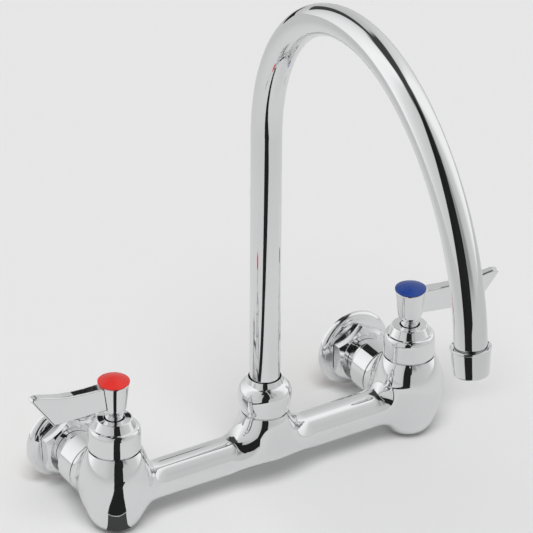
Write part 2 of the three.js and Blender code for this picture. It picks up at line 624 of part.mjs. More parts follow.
// A turned brass foot: two ring grooves in the socket, a flange held by the nut and a spigot
// that the tube is brazed on.
function spoutFerrule() {
  const groove = SOCKET_R - 2 * RING_R - GAP;
  const half = RING_R + GAP / 2;
  const rings = FERRULE_RINGS.flatMap((z) => [
    [FERRULE_R, z - half], [groove, z - half], [groove, z + half], [FERRULE_R, z + half]]);
  const spigotR = TUBE_R - TUBE_WALL - GAP;
  return turned([
    [FERRULE_BORE_R, SOCKET_Z + GAP], [FERRULE_R, SOCKET_Z + GAP], ...rings, [FERRULE_R, FLANGE_FOOT],
    [FERRULE_FLANGE_R, FLANGE_FOOT], [FERRULE_FLANGE_R, FLANGE_TOP], [spigotR, FLANGE_TOP],
    [spigotR, FLANGE_TOP + FERRULE_SPIGOT_H], [FERRULE_BORE_R, FLANGE_TOP + FERRULE_SPIGOT_H]], 18);
}

// The centre line of the bent tube: riser, crest, front leg and a short straight end.
class SpoutPath extends THREE.CurvePath {
  constructor() {
    super();
    let end = new THREE.Vector3(0, 0, RISER_TOP);
    this.add(new THREE.LineCurve3(new THREE.Vector3(0, 0, TUBE_FOOT), end));
    let heading = 0;
    for (const [radius, sweep] of [[CREST_R, CREST_SWEEP * DEG], [LEG_R, LEG_SWEEP * DEG]]) {
      const bend = new BendCurve(end, heading, radius, sweep);
      this.add(bend);
      end = bend.getPoint(1);
      heading += sweep;
    }
    this.heading = heading;
    const tail = new THREE.Vector3(0, -Math.sin(heading), Math.cos(heading));
    this.rim = end.clone().addScaledVector(tail, LEG_END - TUBE_IN_COLLAR);
    this.add(new THREE.LineCurve3(end, end.clone().addScaledVector(tail, LEG_END)));
  }
}

// An arc in the plane of the spout that bends forwards, towards -Y. The heading is the angle
// from straight up.
class BendCurve extends THREE.Curve {
  constructor(start, heading, radius, sweep) {
    super();
    Object.assign(this, { start, heading, radius, sweep });
  }

  getPoint(t) {
    const angle = this.heading + this.sweep * t;
    const forward = this.radius * (Math.cos(this.heading) - Math.cos(angle));
    const up = this.radius * (Math.sin(angle) - Math.sin(this.heading));
    return new THREE.Vector3(0, this.start.y - forward, this.start.z + up);
  }
}

const spoutPath = new SpoutPath();

function spoutTube() {
  const section = new THREE.Shape().absarc(0, 0, TUBE_R, 0, 2 * Math.PI);
  section.holes.push(new THREE.Path().absarc(0, 0, TUBE_R - TUBE_WALL, 0, 2 * Math.PI, true));
  return solid(new THREE.ExtrudeGeometry(section, {
    extrudePath: spoutPath, steps: 40, curveSegments: 8, bevelEnabled: false,
  }));
}

// ---------------------------------------------------------------- outlet

// Heights here run down the spout's end, from the collar's rim at zero to its mouth.
const NIPPLE_FLANGE = TUBE_IN_COLLAR + GAP;
const NIPPLE_FOOT = NIPPLE_FLANGE + NIPPLE_FLANGE_T;
const AERATOR_WASHER = NIPPLE_FOOT + GAP;
const AERATOR_TOP = AERATOR_WASHER + AERATOR_WASHER_T + GAP;
const SCREEN_TOP = AERATOR_TOP + AERATOR_T + GAP;

const down = (profile) => profile.map(([r, s]) => [r, -s]);

function outletCollar() {
  const lip = SCREEN_TOP + SCREEN_T + GAP;
  const innerFoot = OUTLET_FOOT_R - OUTLET_WALL;
  const edge = OUTLET_FOOT_EDGE;
  const foot = arc(OUTLET_FOOT_R - edge, OUTLET_LENGTH - edge, edge, 0, 90, 3);
  return turned(down([
    [OUTLET_RIM_R - OUTLET_WALL, 0], [OUTLET_RIM_R - 0.3, -0.3], [OUTLET_RIM_R, 0.3],
    [OUTLET_RIM_R, OUTLET_LIP - 0.3], [OUTLET_RIM_R - 0.3, OUTLET_LIP], ...foot,
    [OUTLET_MOUTH_R, OUTLET_LENGTH], [OUTLET_MOUTH_R, lip], [innerFoot, lip],
    [innerFoot, TUBE_IN_COLLAR + 0.6], [TUBE_R + GAP, TUBE_IN_COLLAR], [TUBE_R + GAP, OUTLET_DISH]]), ROUND);
}

function outletNipple() {
  const insideTube = TUBE_R - TUBE_WALL - GAP;
  const threadR = OUTLET_FOOT_R - OUTLET_WALL - GAP;
  return turned(down([
    [NIPPLE_BORE_R, 0], [insideTube, 0], [insideTube, NIPPLE_FLANGE],
    [threadR, NIPPLE_FLANGE], [threadR, NIPPLE_FOOT], [NIPPLE_BORE_R, NIPPLE_FOOT]]));
}

function outletGroup() {
  const insideR = OUTLET_FOOT_R - OUTLET_WALL - GAP;
  const plate = (top, thickness, holeR, circleR) => {
    let shape = disc(insideR, -top - thickness, -top);
    for (let k = 0; k < OUTLET_HOLES; k += 1) {
      const angle = (k * 2 * Math.PI) / OUTLET_HOLES;
      const hole = disc(holeR, -top - thickness - 1, -top + 1, 6);
      shape = shape.subtract(hole.translate([circleR * Math.cos(angle), circleR * Math.sin(angle), 0]));
    }
    return shape;
  };
  const washer = ring(NIPPLE_BORE_R, insideR, -AERATOR_WASHER - AERATOR_WASHER_T, -AERATOR_WASHER);
  const insert = plate(AERATOR_TOP, AERATOR_T, AERATOR_HOLE_R, AERATOR_CIRCLE_R);
  const screen = plate(SCREEN_TOP, SCREEN_T, SCREEN_HOLE_R, SCREEN_CIRCLE_R);

  const group = new THREE.Group();
  group.position.copy(spoutPath.rim);
  group.rotation.x = spoutPath.heading - Math.PI;
  group.add(
    piece('outlet_nipple', outletNipple(), brass),
    piece('outlet_collar', outletCollar(), chrome),
    piece('aerator_washer', washer, rubber),
    piece('aerator_insert', insert, nylon),
    piece('aerator_screen', screen, steel));
  return group;
}

function spoutGroup() {
  const group = new THREE.Group();
  group.rotation.z = SPOUT_YAW * DEG;
  const [lower, upper] = FERRULE_RINGS;
  const ringR = SOCKET_R - RING_R - GAP / 2;
  group.add(
    piece('spout_ferrule', spoutFerrule(), brass),
    piece('spout_o_ring_lower', oRing(ringR, lower), rubber),
    piece('spout_o_ring_upper', oRing(ringR, upper), rubber),
    piece('spout_tube', spoutTube(), chrome),
    outletGroup());
  return group;
}

// ---------------------------------------------------------------- assembly

const bearingWasher = ring(SOCKET_R, FERRULE_FLANGE_R, SPIGOT_TOP + GAP, SPIGOT_TOP + GAP + BEARING_T);
const retainingRing = ring(TUBE_R + GAP, FERRULE_FLANGE_R, RETAINER_Z, RETAINER_Z + RETAINER_T);

const bodyGroup = new THREE.Group();
bodyGroup.position.set(0, -WALL_TO_AXIS, -INLET_RISE);
bodyGroup.add(
  piece('faucet_body', faucetBody(), chrome),
  piece('spout_nut', spoutNut(), chrome),
  piece('spout_bearing_washer', bearingWasher, nylon),
  piece('spout_retaining_ring', retainingRing, nylon),
  spoutGroup());

const faucet = new THREE.Group();
faucet.add(
  bodyGroup,
  valveGroup(-1, 'hot', 0, HOT_NUT_TURN, red),
  valveGroup(1, 'cold', COLD_LEVER_TURN, 0, blue));

export default faucet;
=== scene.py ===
"""Wall faucet with two lever valves and a swivelling gooseneck spout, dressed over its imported
frame. Shapes are worked out in millimetres about the middle of the body's arm, then put in the
frame."""
import math

import bpy
import numpy as np
from mathutils import Matrix, Vector


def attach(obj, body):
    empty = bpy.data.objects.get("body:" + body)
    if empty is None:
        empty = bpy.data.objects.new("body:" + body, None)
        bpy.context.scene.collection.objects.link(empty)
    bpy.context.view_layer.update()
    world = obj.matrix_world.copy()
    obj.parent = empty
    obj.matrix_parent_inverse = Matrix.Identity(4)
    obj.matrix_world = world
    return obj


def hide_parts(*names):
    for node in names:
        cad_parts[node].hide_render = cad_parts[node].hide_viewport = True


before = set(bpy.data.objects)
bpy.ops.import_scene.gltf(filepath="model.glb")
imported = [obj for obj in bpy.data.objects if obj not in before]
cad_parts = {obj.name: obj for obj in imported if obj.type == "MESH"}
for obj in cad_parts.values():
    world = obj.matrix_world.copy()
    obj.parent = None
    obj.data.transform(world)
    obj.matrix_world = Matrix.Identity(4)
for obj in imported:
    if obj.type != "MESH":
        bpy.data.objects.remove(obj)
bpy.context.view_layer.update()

# ---------------------------------------------------------------- faucet body
# One brass casting: two pear-shaped valve bulbs, the arm that joins them, the boss that carries
# the spout and an inlet neck on each bulb. It is bored for the valves, the waterways and the
# spout's foot, then ground, polished and chrome plated in one piece.
INLET_HALF = 101.6
SIDES = (("hot", -INLET_HALF), ("cold", INLET_HALF))
WALL_Y, INLET_RISE = 62.0, 3.5
CENTRE = np.array([0.0, -WALL_Y, -INLET_RISE])
ARM_R, WATERWAY_R = 11.5, 6.5
INLET_FACE, INLET_R = 23.3, 16.8
BOSS_TOP, BOSS_R = 24.0, 13.8
SEAM_Z = 30.5


def lathe(profile, sides, start=0.0):
    """Grid of points: each (radius, height) of the profile carried round the Z axis."""
    radius, height = np.asarray(profile, float).T
    angle = start + np.linspace(0, 2 * np.pi, sides, endpoint=False)
    x = radius[:, None] * np.cos(angle)
    y = radius[:, None] * np.sin(angle)
    return np.stack([x, y, np.repeat(height[:, None], sides, 1)], -1)


def rounded(corners, steps=5, closed=True):
    """Outline of (radius, height, fillet) corners, each corner turned into an arc that leaves its
    two sides tangentially, with one more point just outside each end to hold flat sides flat.
    No arc takes more than side_share of a side."""
    side_share, guard_share = 0.46, 0.04
    guard_length, least_reach = 0.06, 0.02
    corners = [tuple(c) + (0.0,) * (3 - len(c)) for c in corners]
    points = []
    for k, (r, z, fillet) in enumerate(corners):
        here = np.array([r, z])
        if fillet <= 0 or (not closed and k in (0, len(corners) - 1)):
            points.append(here)
            continue
        before = np.array(corners[k - 1][:2]) - here
        after = np.array(corners[(k + 1) % len(corners)][:2]) - here
        length = np.linalg.norm(before), np.linalg.norm(after)
        before, after = before / length[0], after / length[1]
        half = np.arccos(np.clip(before @ after, -1, 1)) / 2
        reach = min(fillet / np.tan(half), side_share * min(length))
        middle = here + (before + after) / np.linalg.norm(before + after) * reach / np.cos(half)
        first, last = here + before * reach - middle, here + after * reach - middle
        sweep = np.pi - 2 * half
        turn = np.linspace(0, 1, steps)[:, None]
        arc = (np.sin((1 - turn) * sweep) * first + np.sin(turn * sweep) * last) / np.sin(sweep)
        guard = min(guard_length, guard_share * min(length)) if reach > least_reach else 0
        points += [here + before * (reach + guard), *(middle + arc),
                   here + after * (reach + guard)]
    return np.array(points)


def stepped(start, *steps):
    """Outline of a round bar or drill on its axis: from height start, by (radius, end) steps."""
    outline = [(0, start)]
    for radius, end in steps:
        outline += [(radius, outline[-1][1]), (radius, end)]
    return [*outline, (0, end)]


def quads_of(grid, along=False):
    """Vertices and quads of a grid of points, closed round its columns and, if asked, its rows."""
    rows, columns = grid.shape[:2]
    ids = np.arange(rows * columns).reshape(rows, columns)
    ids = np.concatenate([ids, ids[:, :1]], 1)
    ids = np.concatenate([ids, ids[:1]], 0) if along else ids
    quads = np.stack([ids[:-1, :-1], ids[:-1, 1:], ids[1:, 1:], ids[1:, :-1]], -1)
    return grid.reshape(-1, 3), quads.reshape(-1, 4)


def skin(field, low, high, step):
    """Surface where field(x, y, z) is zero. Each grid cell that it crosses gets one vertex, at the
    mean of the crossings on the cell's edges, and each crossed grid edge one quad between its
    four cells. Then every vertex is drawn along the surface towards its neighbours, passes times,
    and each time it is put back on it."""
    ranges = [np.arange(a, b + step, step) for a, b in zip(low, high)]
    values = field(*np.meshgrid(*ranges, indexing="ij"))
    size = np.array(values.shape)
    strides = np.array([size[1] * size[2], size[2], 1])
    one = np.eye(3, dtype=int)
    cells, points, quads = [], [], []
    for axis in range(3):
        inner = [slice(0, -1) if k == axis else slice(1, -1) for k in range(3)]
        outer = [slice(1, None) if k == axis else slice(1, -1) for k in range(3)]
        start, end = values[tuple(inner)], values[tuple(outer)]
        cross = np.argwhere((start < 0) != (end < 0))
        f0, f1 = start[tuple(cross.T)], end[tuple(cross.T)]
        origin = cross + (1 - one[axis])
        at = origin + (f0 / (f0 - f1))[:, None] * one[axis]
        b, c = one[(axis + 1) % 3], one[(axis + 2) % 3]
        quad = np.stack([(origin - o) @ strides for o in (0 * b, b, b + c, c)], 1)
        quad[f0 >= 0] = quad[f0 >= 0][:, ::-1]
        quads.append(quad)
        cells.append(quad.ravel())
        points.append(np.repeat(at, 4, 0))
    quads, cells, points = np.concatenate(quads), np.concatenate(cells), np.concatenate(points)
    used, index = np.unique(cells, return_inverse=True)
    count = np.bincount(index)
    vertices = np.stack([np.bincount(index, points[:, k]) for k in range(3)], 1) / count[:, None]
    vertices = np.array(low) + vertices * step
    quads = np.searchsorted(used, quads)

    edges = np.concatenate([quads[:, [k, (k + 1) % 4]] for k in range(4)])
    degree = np.bincount(edges.ravel(), minlength=len(vertices))[:, None]
    passes, settling, pull_share, tiny = 6, 2, 0.6, 1e-3
    for number in range(passes + settling):
        slope = np.stack([field(*(vertices + tiny * d).T) - field(*(vertices - tiny * d).T)
                          for d in np.eye(3)], 1) / (2 * tiny)
        steep = (slope ** 2).sum(1)[:, None]
        vertices = vertices - slope * field(*vertices.T)[:, None] / steep
        if number < passes:
            pull = np.stack([np.bincount(edges[:, 0], vertices[edges[:, 1], k], len(vertices))
                             + np.bincount(edges[:, 1], vertices[edges[:, 0], k], len(vertices))
                             for k in range(3)], 1) / degree - vertices
            pull -= slope * (pull * slope).sum(1)[:, None] / steep
            vertices = vertices + pull_share * pull
    return vertices, quads


def mesh_of(name, vertices, quads, matrix=None):
    """A closed mesh in metres from points in millimetres: doubles merged, faces turned outwards.
    Points count as doubles when they agree to places decimals of a metre."""
    places = 7
    vertices = np.asarray(vertices, float)
    if matrix is not None:
        vertices = vertices @ np.array(matrix)[:3, :3].T + np.array(matrix)[:3, 3]
    vertices = (vertices + CENTRE) / 1000
    keys, index = np.unique(np.round(vertices, places), axis=0, return_inverse=True)
    quads = index.reshape(-1)[quads]
    corners = [list(dict.fromkeys(q)) for q in quads.tolist()]
    faces = [q for q in corners if len(q) > 2]
    mesh = bpy.data.meshes.new(name)
    mesh.from_pydata(keys.tolist(), [], faces)
    mesh.validate()
    points = np.empty(len(mesh.vertices) * 3)
    mesh.vertices.foreach_get("co", points)
    mesh.calc_loop_triangles()
    triangles = np.empty(len(mesh.loop_triangles) * 3, int)
    mesh.loop_triangles.foreach_get("vertices", triangles)
    a, b, c = points.reshape(-1, 3)[triangles.reshape(-1, 3)].transpose(1, 0, 2)
    if np.einsum("ij,ij->", a, np.cross(b, c)) < 0:
        mesh.flip_normals()
    return mesh


def add(name, mesh, crease=40):
    """An object for the mesh, smooth but for edges sharper than crease, in degrees."""
    mesh.polygons.foreach_set("use_smooth", np.ones(len(mesh.polygons), bool))
    mesh.set_sharp_from_angle(angle=math.radians(crease))
    piece = bpy.data.objects.new(name, mesh)
    bpy.context.scene.collection.objects.link(piece)
    return piece


def carve(mesh, *steps):
    """The mesh after each step: ("DIFFERENCE", "UNION" or "INTERSECT", another mesh)."""
    piece = bpy.data.objects.new("blank", mesh)
    bpy.context.scene.collection.objects.link(piece)
    tools = []
    for operation, tool in steps:
        tools.append(bpy.data.objects.new("cutter", tool))
        bpy.context.scene.collection.objects.link(tools[-1])
        cut = piece.modifiers.new("cut", "BOOLEAN")
        cut.object, cut.operation, cut.solver = tools[-1], operation, "MANIFOLD"
    bpy.context.view_layer.update()
    carved = piece.evaluated_get(bpy.context.evaluated_depsgraph_get())
    result = bpy.data.meshes.new_from_object(carved)
    for spare in [piece, *tools]:
        data = spare.data
        bpy.data.objects.remove(spare)
        bpy.data.meshes.remove(data)
    result.materials.clear()
    return result


def block(low, high):
    """A box between two corners, as a closed mesh."""
    unit = np.array([[i, j, k] for i in (0, 1) for j in (0, 1) for k in (0, 1)])
    faces = np.array([[0, 1, 3, 2], [4, 6, 7, 5], [0, 4, 5, 1],
                      [2, 3, 7, 6], [0, 2, 6, 4], [1, 5, 7, 3]])
    low, high = np.array(low, float), np.array(high, float)
    return mesh_of("block", low + unit * (high - low), faces)


def melt(a, b, reach):
    """The lesser of two distances, run together smoothly where they differ by less than reach."""
    blend = np.maximum(reach - np.abs(a - b), 0) / reach
    return np.minimum(a, b) - blend ** 2 * reach / 4


# The bulb's squared radius is its height over BULB_FOOT times a polynomial in height / BULB_SPAN.
# Below the arm's axis the heights are first drawn together, by BULB_SQUEEZE at BULB_BASE, where
# the real foot is.
BULB_FOOT, BULB_BASE, BULB_SQUEEZE, BULB_TOP = -25.0, -22.8, 2.2, 32
BULB_SPAN = 30
BULB_TERMS = (16.3812, -9.1053, -0.3747, -16.2312, 23.9182, -10.0794)
# The inlet's neck is a short cylinder, its middle INLET_MIDDLE behind the arm's axis.
INLET_MIDDLE, INLET_REACH = 16.3, 8.3
# The boss is an ellipse at each depth below its top. Along the arm it widens by BOSS_SPREAD times
# the depth and BOSS_FLARE times its square, and across the arm by BOSS_SWELL, most of it within
# BOSS_EASE.
BOSS_LOW, BOSS_HIGH = -2, 26
BOSS_SPREAD, BOSS_FLARE = 0.36, 0.010
BOSS_SWELL, BOSS_EASE = 2.5, 4.5
BOSS_FILLET, BULB_FILLET, INLET_FILLET = 7.0, 8.0, 6.0


def casting(x, y, z):
    """Distance to the raw casting: arm, bulbs, inlet necks and boss, melted together with fillets.
    The bulb's and the boss's own values are divided by their slope, which makes them near enough
    distances."""
    tiny, least_ring = 1e-6, 1e-9
    out = np.abs(x) - INLET_HALF
    across = out * out + y * y
    below = np.minimum(z, 0) / BULB_BASE
    level = z - BULB_SQUEEZE * below ** 2
    share = level / BULB_SPAN
    terms = sum(c * share ** k for k, c in enumerate(BULB_TERMS))
    change = sum(k * c * share ** (k - 1) for k, c in enumerate(BULB_TERMS) if k)
    slope = terms + (level - BULB_FOOT) * change / BULB_SPAN
    slope = slope * (1 - 2 * BULB_SQUEEZE * below / BULB_BASE)
    bulb = (across - (level - BULB_FOOT) * terms) / np.sqrt(4 * across + slope ** 2 + tiny)
    bulb = np.maximum(bulb, z - BULB_TOP)
    arm = np.maximum(np.hypot(y, z) - ARM_R, out)
    inlet = np.hypot(out, z - INLET_RISE) - INLET_R
    inlet = np.maximum(inlet, np.abs(y - INLET_MIDDLE) - INLET_REACH)

    drop = np.clip(BOSS_TOP - z, 0, BOSS_TOP)
    along = BOSS_R + BOSS_SPREAD * drop + BOSS_FLARE * drop ** 2
    broad = BOSS_R + BOSS_SWELL * (1 - np.exp(-drop / BOSS_EASE))
    ring = np.sqrt((x / along) ** 2 + (y / broad) ** 2 + least_ring)
    boss = (ring - 1) * ring / np.sqrt((x / along ** 2) ** 2 + (y / broad ** 2) ** 2 + tiny)
    boss = np.maximum(boss, np.maximum(BOSS_LOW - z, z - BOSS_HIGH))

    whole = melt(melt(arm, boss, BOSS_FILLET), bulb, BULB_FILLET)
    return melt(whole, inlet, INLET_FILLET)


def upright(profile, x, sides=96, closed=False):
    """A turned solid or tool on a vertical axis at x."""
    turned = quads_of(lathe(profile, sides), along=closed)
    return mesh_of("turned", *turned, Matrix.Translation((x, 0, 0)))


WALLWARD = Matrix.Rotation(math.radians(-90), 4, "X")


def to_wall(profile, x, sides=96, start=0.0, closed=False):
    """A turned solid or tool on an inlet's axis at x, its heights measured towards the wall."""
    turned = quads_of(lathe(profile, sides, start), along=closed)
    return mesh_of("turned", *turned, Matrix.Translation((x, 0, INLET_RISE)) @ WALLWARD)


CAST_LOW, CAST_HIGH, CAST_CELL = (-124.4, -22.6, -26.3), (124.4, 25.4, 33.1), 0.85
raw = mesh_of("casting", *skin(casting, CAST_LOW, CAST_HIGH, CAST_CELL))

# The machining. On the boss stands the threaded spigot, with the socket of the spout's foot in it.
# Each bulb is cut off at the bonnet's seam and bored for the valve: its chamber, a port under it
# and a sump below. FAR to PAST are where the tools end, well outside the metal.
SPIGOT_R, SPIGOT_FOOT, SPIGOT_TOP = 11.2, 15, 33
SOCKET_R, SOCKET_FLOOR = 9, 10
SUMP_R, SUMP_FLOOR, SUMP_TOP = 7.5, -14, 10
PORT_R, CHAMBER_R, CHAMBER_FLOOR = 6, 10.5, 12
THREAD_BORE_R, THREAD_FLOOR = 9.6, 15.3
DRILL_R, DRILL_LENGTH, DRILL_IN, DRILL_Z = 4, 24.6, 8, 17.6
DRILL_RUN, DRILL_FALL = 15.9, 16
ARM_BORE_HALF = 80
FAR, NEAR, HIGH, BOSS_WIDE, BULB_WIDE, BEHIND, PAST = 140, 30, 40, 40, 26, 28, 35
cuts = [
    ("DIFFERENCE", block((-FAR, INLET_FACE, -NEAR), (FAR, NEAR, HIGH))),
    ("DIFFERENCE", block((-BOSS_WIDE, -NEAR, BOSS_TOP), (BOSS_WIDE, NEAR, HIGH))),
    ("UNION", upright(stepped(SPIGOT_FOOT, (SPIGOT_R, SPIGOT_TOP)), 0)),
    ("DIFFERENCE", upright(stepped(0, (WATERWAY_R, SOCKET_FLOOR), (SOCKET_R, PAST)), 0)),
]
for _, x in SIDES:
    chamber = stepped(SUMP_FLOOR, (SUMP_R, SUMP_TOP), (PORT_R, CHAMBER_FLOOR), (CHAMBER_R, PAST))
    inlet_bore = stepped(0, (WATERWAY_R, THREAD_FLOOR), (THREAD_BORE_R, BEHIND))
    # a drilled waterway slopes from the valve's chamber down into the arm's bore
    inward = -np.sign(x)
    slope = Vector((inward * DRILL_RUN, 0, -DRILL_FALL)).to_track_quat("Z", "Y")
    start = Matrix.Translation((x + inward * DRILL_IN, 0, DRILL_Z))
    drill = quads_of(lathe(stepped(0, (DRILL_R, DRILL_LENGTH)), 48))
    cuts += [
        ("DIFFERENCE", block((x - BULB_WIDE, -NEAR, SEAM_Z), (x + BULB_WIDE, NEAR, HIGH))),
        ("DIFFERENCE", upright(chamber, x)),
        ("DIFFERENCE", to_wall(inlet_bore, x)),
        ("DIFFERENCE", mesh_of("drill", *drill, start @ slope.to_matrix().to_4x4())),
    ]
arm_bore = quads_of(lathe(stepped(-ARM_BORE_HALF, (WATERWAY_R, ARM_BORE_HALF)), 64))
sideways = Matrix.Rotation(math.radians(90), 4, "Y")
cuts.append(("DIFFERENCE", mesh_of("arm_bore", *arm_bore, sideways)))
body = add("body_casting", carve(raw, *cuts))
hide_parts("faucet_body")
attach(body, "body")


def noise_group():
    """Node group: slow and fine noise on Object coordinates, mixed into one uneven mask."""
    group = bpy.data.node_groups.new("polish_unevenness", "ShaderNodeTree")
    for label, value in (("Scale", 60.0), ("Fine Scale", 900.0), ("Fine Share", 0.4)):
        socket = group.interface.new_socket(label, in_out="INPUT", socket_type="NodeSocketFloat")
        socket.default_value = value
    group.interface.new_socket("Mask", in_out="OUTPUT", socket_type="NodeSocketFloat")
    nodes, links = group.nodes, group.links
    entry, leave = nodes.new("NodeGroupInput"), nodes.new("NodeGroupOutput")
    where = nodes.new("ShaderNodeTexCoord")
    mix = nodes.new("ShaderNodeMix")
    for k, (label, detail) in enumerate((("Scale", 2.0), ("Fine Scale", 3.0))):
        cloud = nodes.new("ShaderNodeTexNoise")
        cloud.inputs["Detail"].default_value = detail
        links.new(where.outputs["Object"], cloud.inputs["Vector"])
        links.new(entry.outputs[label], cloud.inputs["Scale"])
        links.new(cloud.outputs["Fac"], mix.inputs[2 + k])
    links.new(entry.outputs["Fine Share"], mix.inputs[0])
    links.new(mix.outputs[0], leave.inputs["Mask"])
    return group


UNEVEN = noise_group()
MASK_SPAN = (0.35, 0.65)


def ranged(tree, value, source, target, smooth=False):
    """Output of a node that carries value from the source range to the target range, held at
    their ends: in a straight line, or in a smooth step."""
    node = tree.nodes.new("ShaderNodeMapRange")
    node.interpolation_type = "SMOOTHSTEP" if smooth else "LINEAR"
    for label, number in zip(("From Min", "From Max", "To Min", "To Max"), (*source, *target)):
        node.inputs[label].default_value = number
    tree.links.new(value, node.inputs["Value"])
    return node.outputs[0]


def finish_of(name, dark, light, rough, metallic, scales, bump=0.0, specular=0.5):
    """A material whose colour and roughness drift between two values with the uneven mask, and
    whose surface has a faint bump from it, bump metres deep."""
    material = bpy.data.materials.new(name)
    material.use_nodes = True
    tree = material.node_tree
    shader = tree.nodes["Principled BSDF"]
    shader.inputs["Metallic"].default_value = metallic
    shader.inputs["Specular IOR Level"].default_value = specular
    mask = tree.nodes.new("ShaderNodeGroup")
    mask.node_tree = UNEVEN
    for socket, value in zip(mask.inputs, scales):
        socket.default_value = value
    # a Mix node's sockets 6 and 7 are its two colours, and its output 2 is their mix
    colour = tree.nodes.new("ShaderNodeMix")
    colour.data_type = "RGBA"
    colour.inputs[6].default_value = (*dark, 1)
    colour.inputs[7].default_value = (*light, 1)
    tree.links.new(mask.outputs[0], colour.inputs[0])
    tree.links.new(colour.outputs[2], shader.inputs["Base Color"])
    tree.links.new(ranged(tree, mask.outputs[0], MASK_SPAN, rough), shader.inputs["Roughness"])
    if bump:
        relief = tree.nodes.new("ShaderNodeBump")
        relief.inputs["Strength"].default_value = 1.0
        relief.inputs["Distance"].default_value = bump
        tree.links.new(mask.outputs[0], relief.inputs["Height"])
        tree.links.new(relief.outputs[0], shader.inputs["Normal"])
    return material


CHROME = finish_of("polished_chrome", (0.83, 0.84, 0.845), (0.88, 0.885, 0.89),
                   rough=(0.025, 0.06), metallic=1.0, scales=(35, 700, 0.3))
body.data.materials.append(CHROME)

# ---------------------------------------------------------------- inlet shanks
# Turned and plated brass tubes that screw into the body's inlets: a thick stub with a rounded
# edge, then a neck. Each has a thin collar inside the nut, which pulls it against the washer.
GAP = 0.3
THREAD_R, THREAD_FOOT = 9.3, 15.6
SEAM_R, STUB_FRONT, STUB_BACK = 14.8, 24.3, 38.4
NECK_R, NECK_BACK = 12.2, 47.7
SHANK_COLLAR_R, COLLAR_FRONT, COLLAR_BACK = 12.5, 50.9, 52.5
shank_outline = rounded([
    (WATERWAY_R, THREAD_FOOT), (THREAD_R, THREAD_FOOT), (THREAD_R, INLET_FACE + GAP),
    (SEAM_R, INLET_FACE + GAP), (SEAM_R, STUB_FRONT), (INLET_R, STUB_FRONT, 0.3),
    (INLET_R, STUB_BACK, 0.8), (NECK_R, STUB_BACK, 1.0), (NECK_R, NECK_BACK),
    (THREAD_R, NECK_BACK), (THREAD_R, COLLAR_FRONT), (SHANK_COLLAR_R, COLLAR_FRONT, 0.2),
    (SHANK_COLLAR_R, COLLAR_BACK, 0.2), (WATERWAY_R, COLLAR_BACK, 0.3)])
for side, x in SIDES:
    shank = add(f"{side}_shank", to_wall(shank_outline, x, sides=128, closed=True))
    shank.data.materials.append(CHROME)
    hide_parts(f"{side}_inlet_shank")
    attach(shank, "body")

# ---------------------------------------------------------------- union nuts
# Plated hexagon nuts with a turned chamfer in front and a light one behind. The flats stand
# 34 mm apart, with two corners about straight up and down, as they were left when tightened.
NUT_FLATS = 34.0
NUT_TURN = {"hot": 4.0, "cold": 0.0}
NUT_FRONT, NUT_BACK = 48.0, 56.2
NUT_FACE_R, NUT_CHAMFER = 15.9, 2.7
NUT_RECESS, NUT_RECESS_R = 50.6, 12.9
NUT_EDGE, NUT_EDGE_ANGLE = 0.0003, 24
corner_r = NUT_FLATS / math.sqrt(3)
blank_r = corner_r + 0.2
nut_turned = rounded([
    (0, NUT_FRONT), (NUT_FACE_R, NUT_FRONT, 0.5), (blank_r, NUT_FRONT + NUT_CHAMFER),
    (blank_r, NUT_BACK - 0.5), (corner_r - 0.9, NUT_BACK), (0, NUT_BACK)], closed=False)
for side, x in SIDES:
    prism = to_wall(stepped(NUT_FRONT, (corner_r, NUT_BACK)), x, sides=6,
                    start=math.radians(90 - NUT_TURN[side]))
    bore = to_wall(stepped(40, (THREAD_BORE_R, NUT_RECESS), (NUT_RECESS_R, 60)), x)
    nut = carve(prism, ("INTERSECT", to_wall(nut_turned, x, sides=192)), ("DIFFERENCE", bore))
    nut = add(f"{side}_nut", nut, 25)
    edge = nut.modifiers.new("edge", "BEVEL")
    edge.width, edge.segments = NUT_EDGE, 3
    edge.limit_method, edge.angle_limit = "ANGLE", math.radians(NUT_EDGE_ANGLE)
    edge.harden_normals = True
    nut.data.materials.append(CHROME)
    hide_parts(f"{side}_union_nut")
    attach(nut, "body")

# ---------------------------------------------------------------- wall flanges
# Thin pressed brass covers, plated, that hide the hole in the wall. The face is a shallow dome
# and the edge is rolled back to the wall.
FLANGE_R, HOLE_R = 24.4, 13.2
DOME_R, DOME_WIDTH = 21.8, 8.6
DOME_Y, DOME_RISE, BACK_Y, BACK_RISE = 56.5, 1.3, 58.0, 1.0
ROLL_R, ROLL_Y = 3.2, 61.3


def domed(radii, height, rise):
    """Points on a dome: height at the hole, and rise more DOME_WIDTH from it, as the square."""
    return [(r, height + rise * ((r - HOLE_R) / DOME_WIDTH) ** 2) for r in radii]


roll = [(FLANGE_R - ROLL_R * (1 - math.cos(a)), ROLL_Y - ROLL_R * math.sin(a))
        for a in np.linspace(1.35, 0, 12)]
flange_outline = [
    *domed(np.linspace(HOLE_R, DOME_R, 8), DOME_Y, DOME_RISE), *roll, (FLANGE_R, WALL_Y),
    (22.8, WALL_Y), (22.8, 60.6), (22.3, 59.6),
    *domed(np.linspace(21.2, HOLE_R, 6), BACK_Y, BACK_RISE)]
for side, x in SIDES:
    flange = add(f"{side}_flange", to_wall(flange_outline, x, sides=160, closed=True), 50)
    flange.data.materials.append(CHROME)
    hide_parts(f"{side}_wall_flange")
    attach(flange, "body")

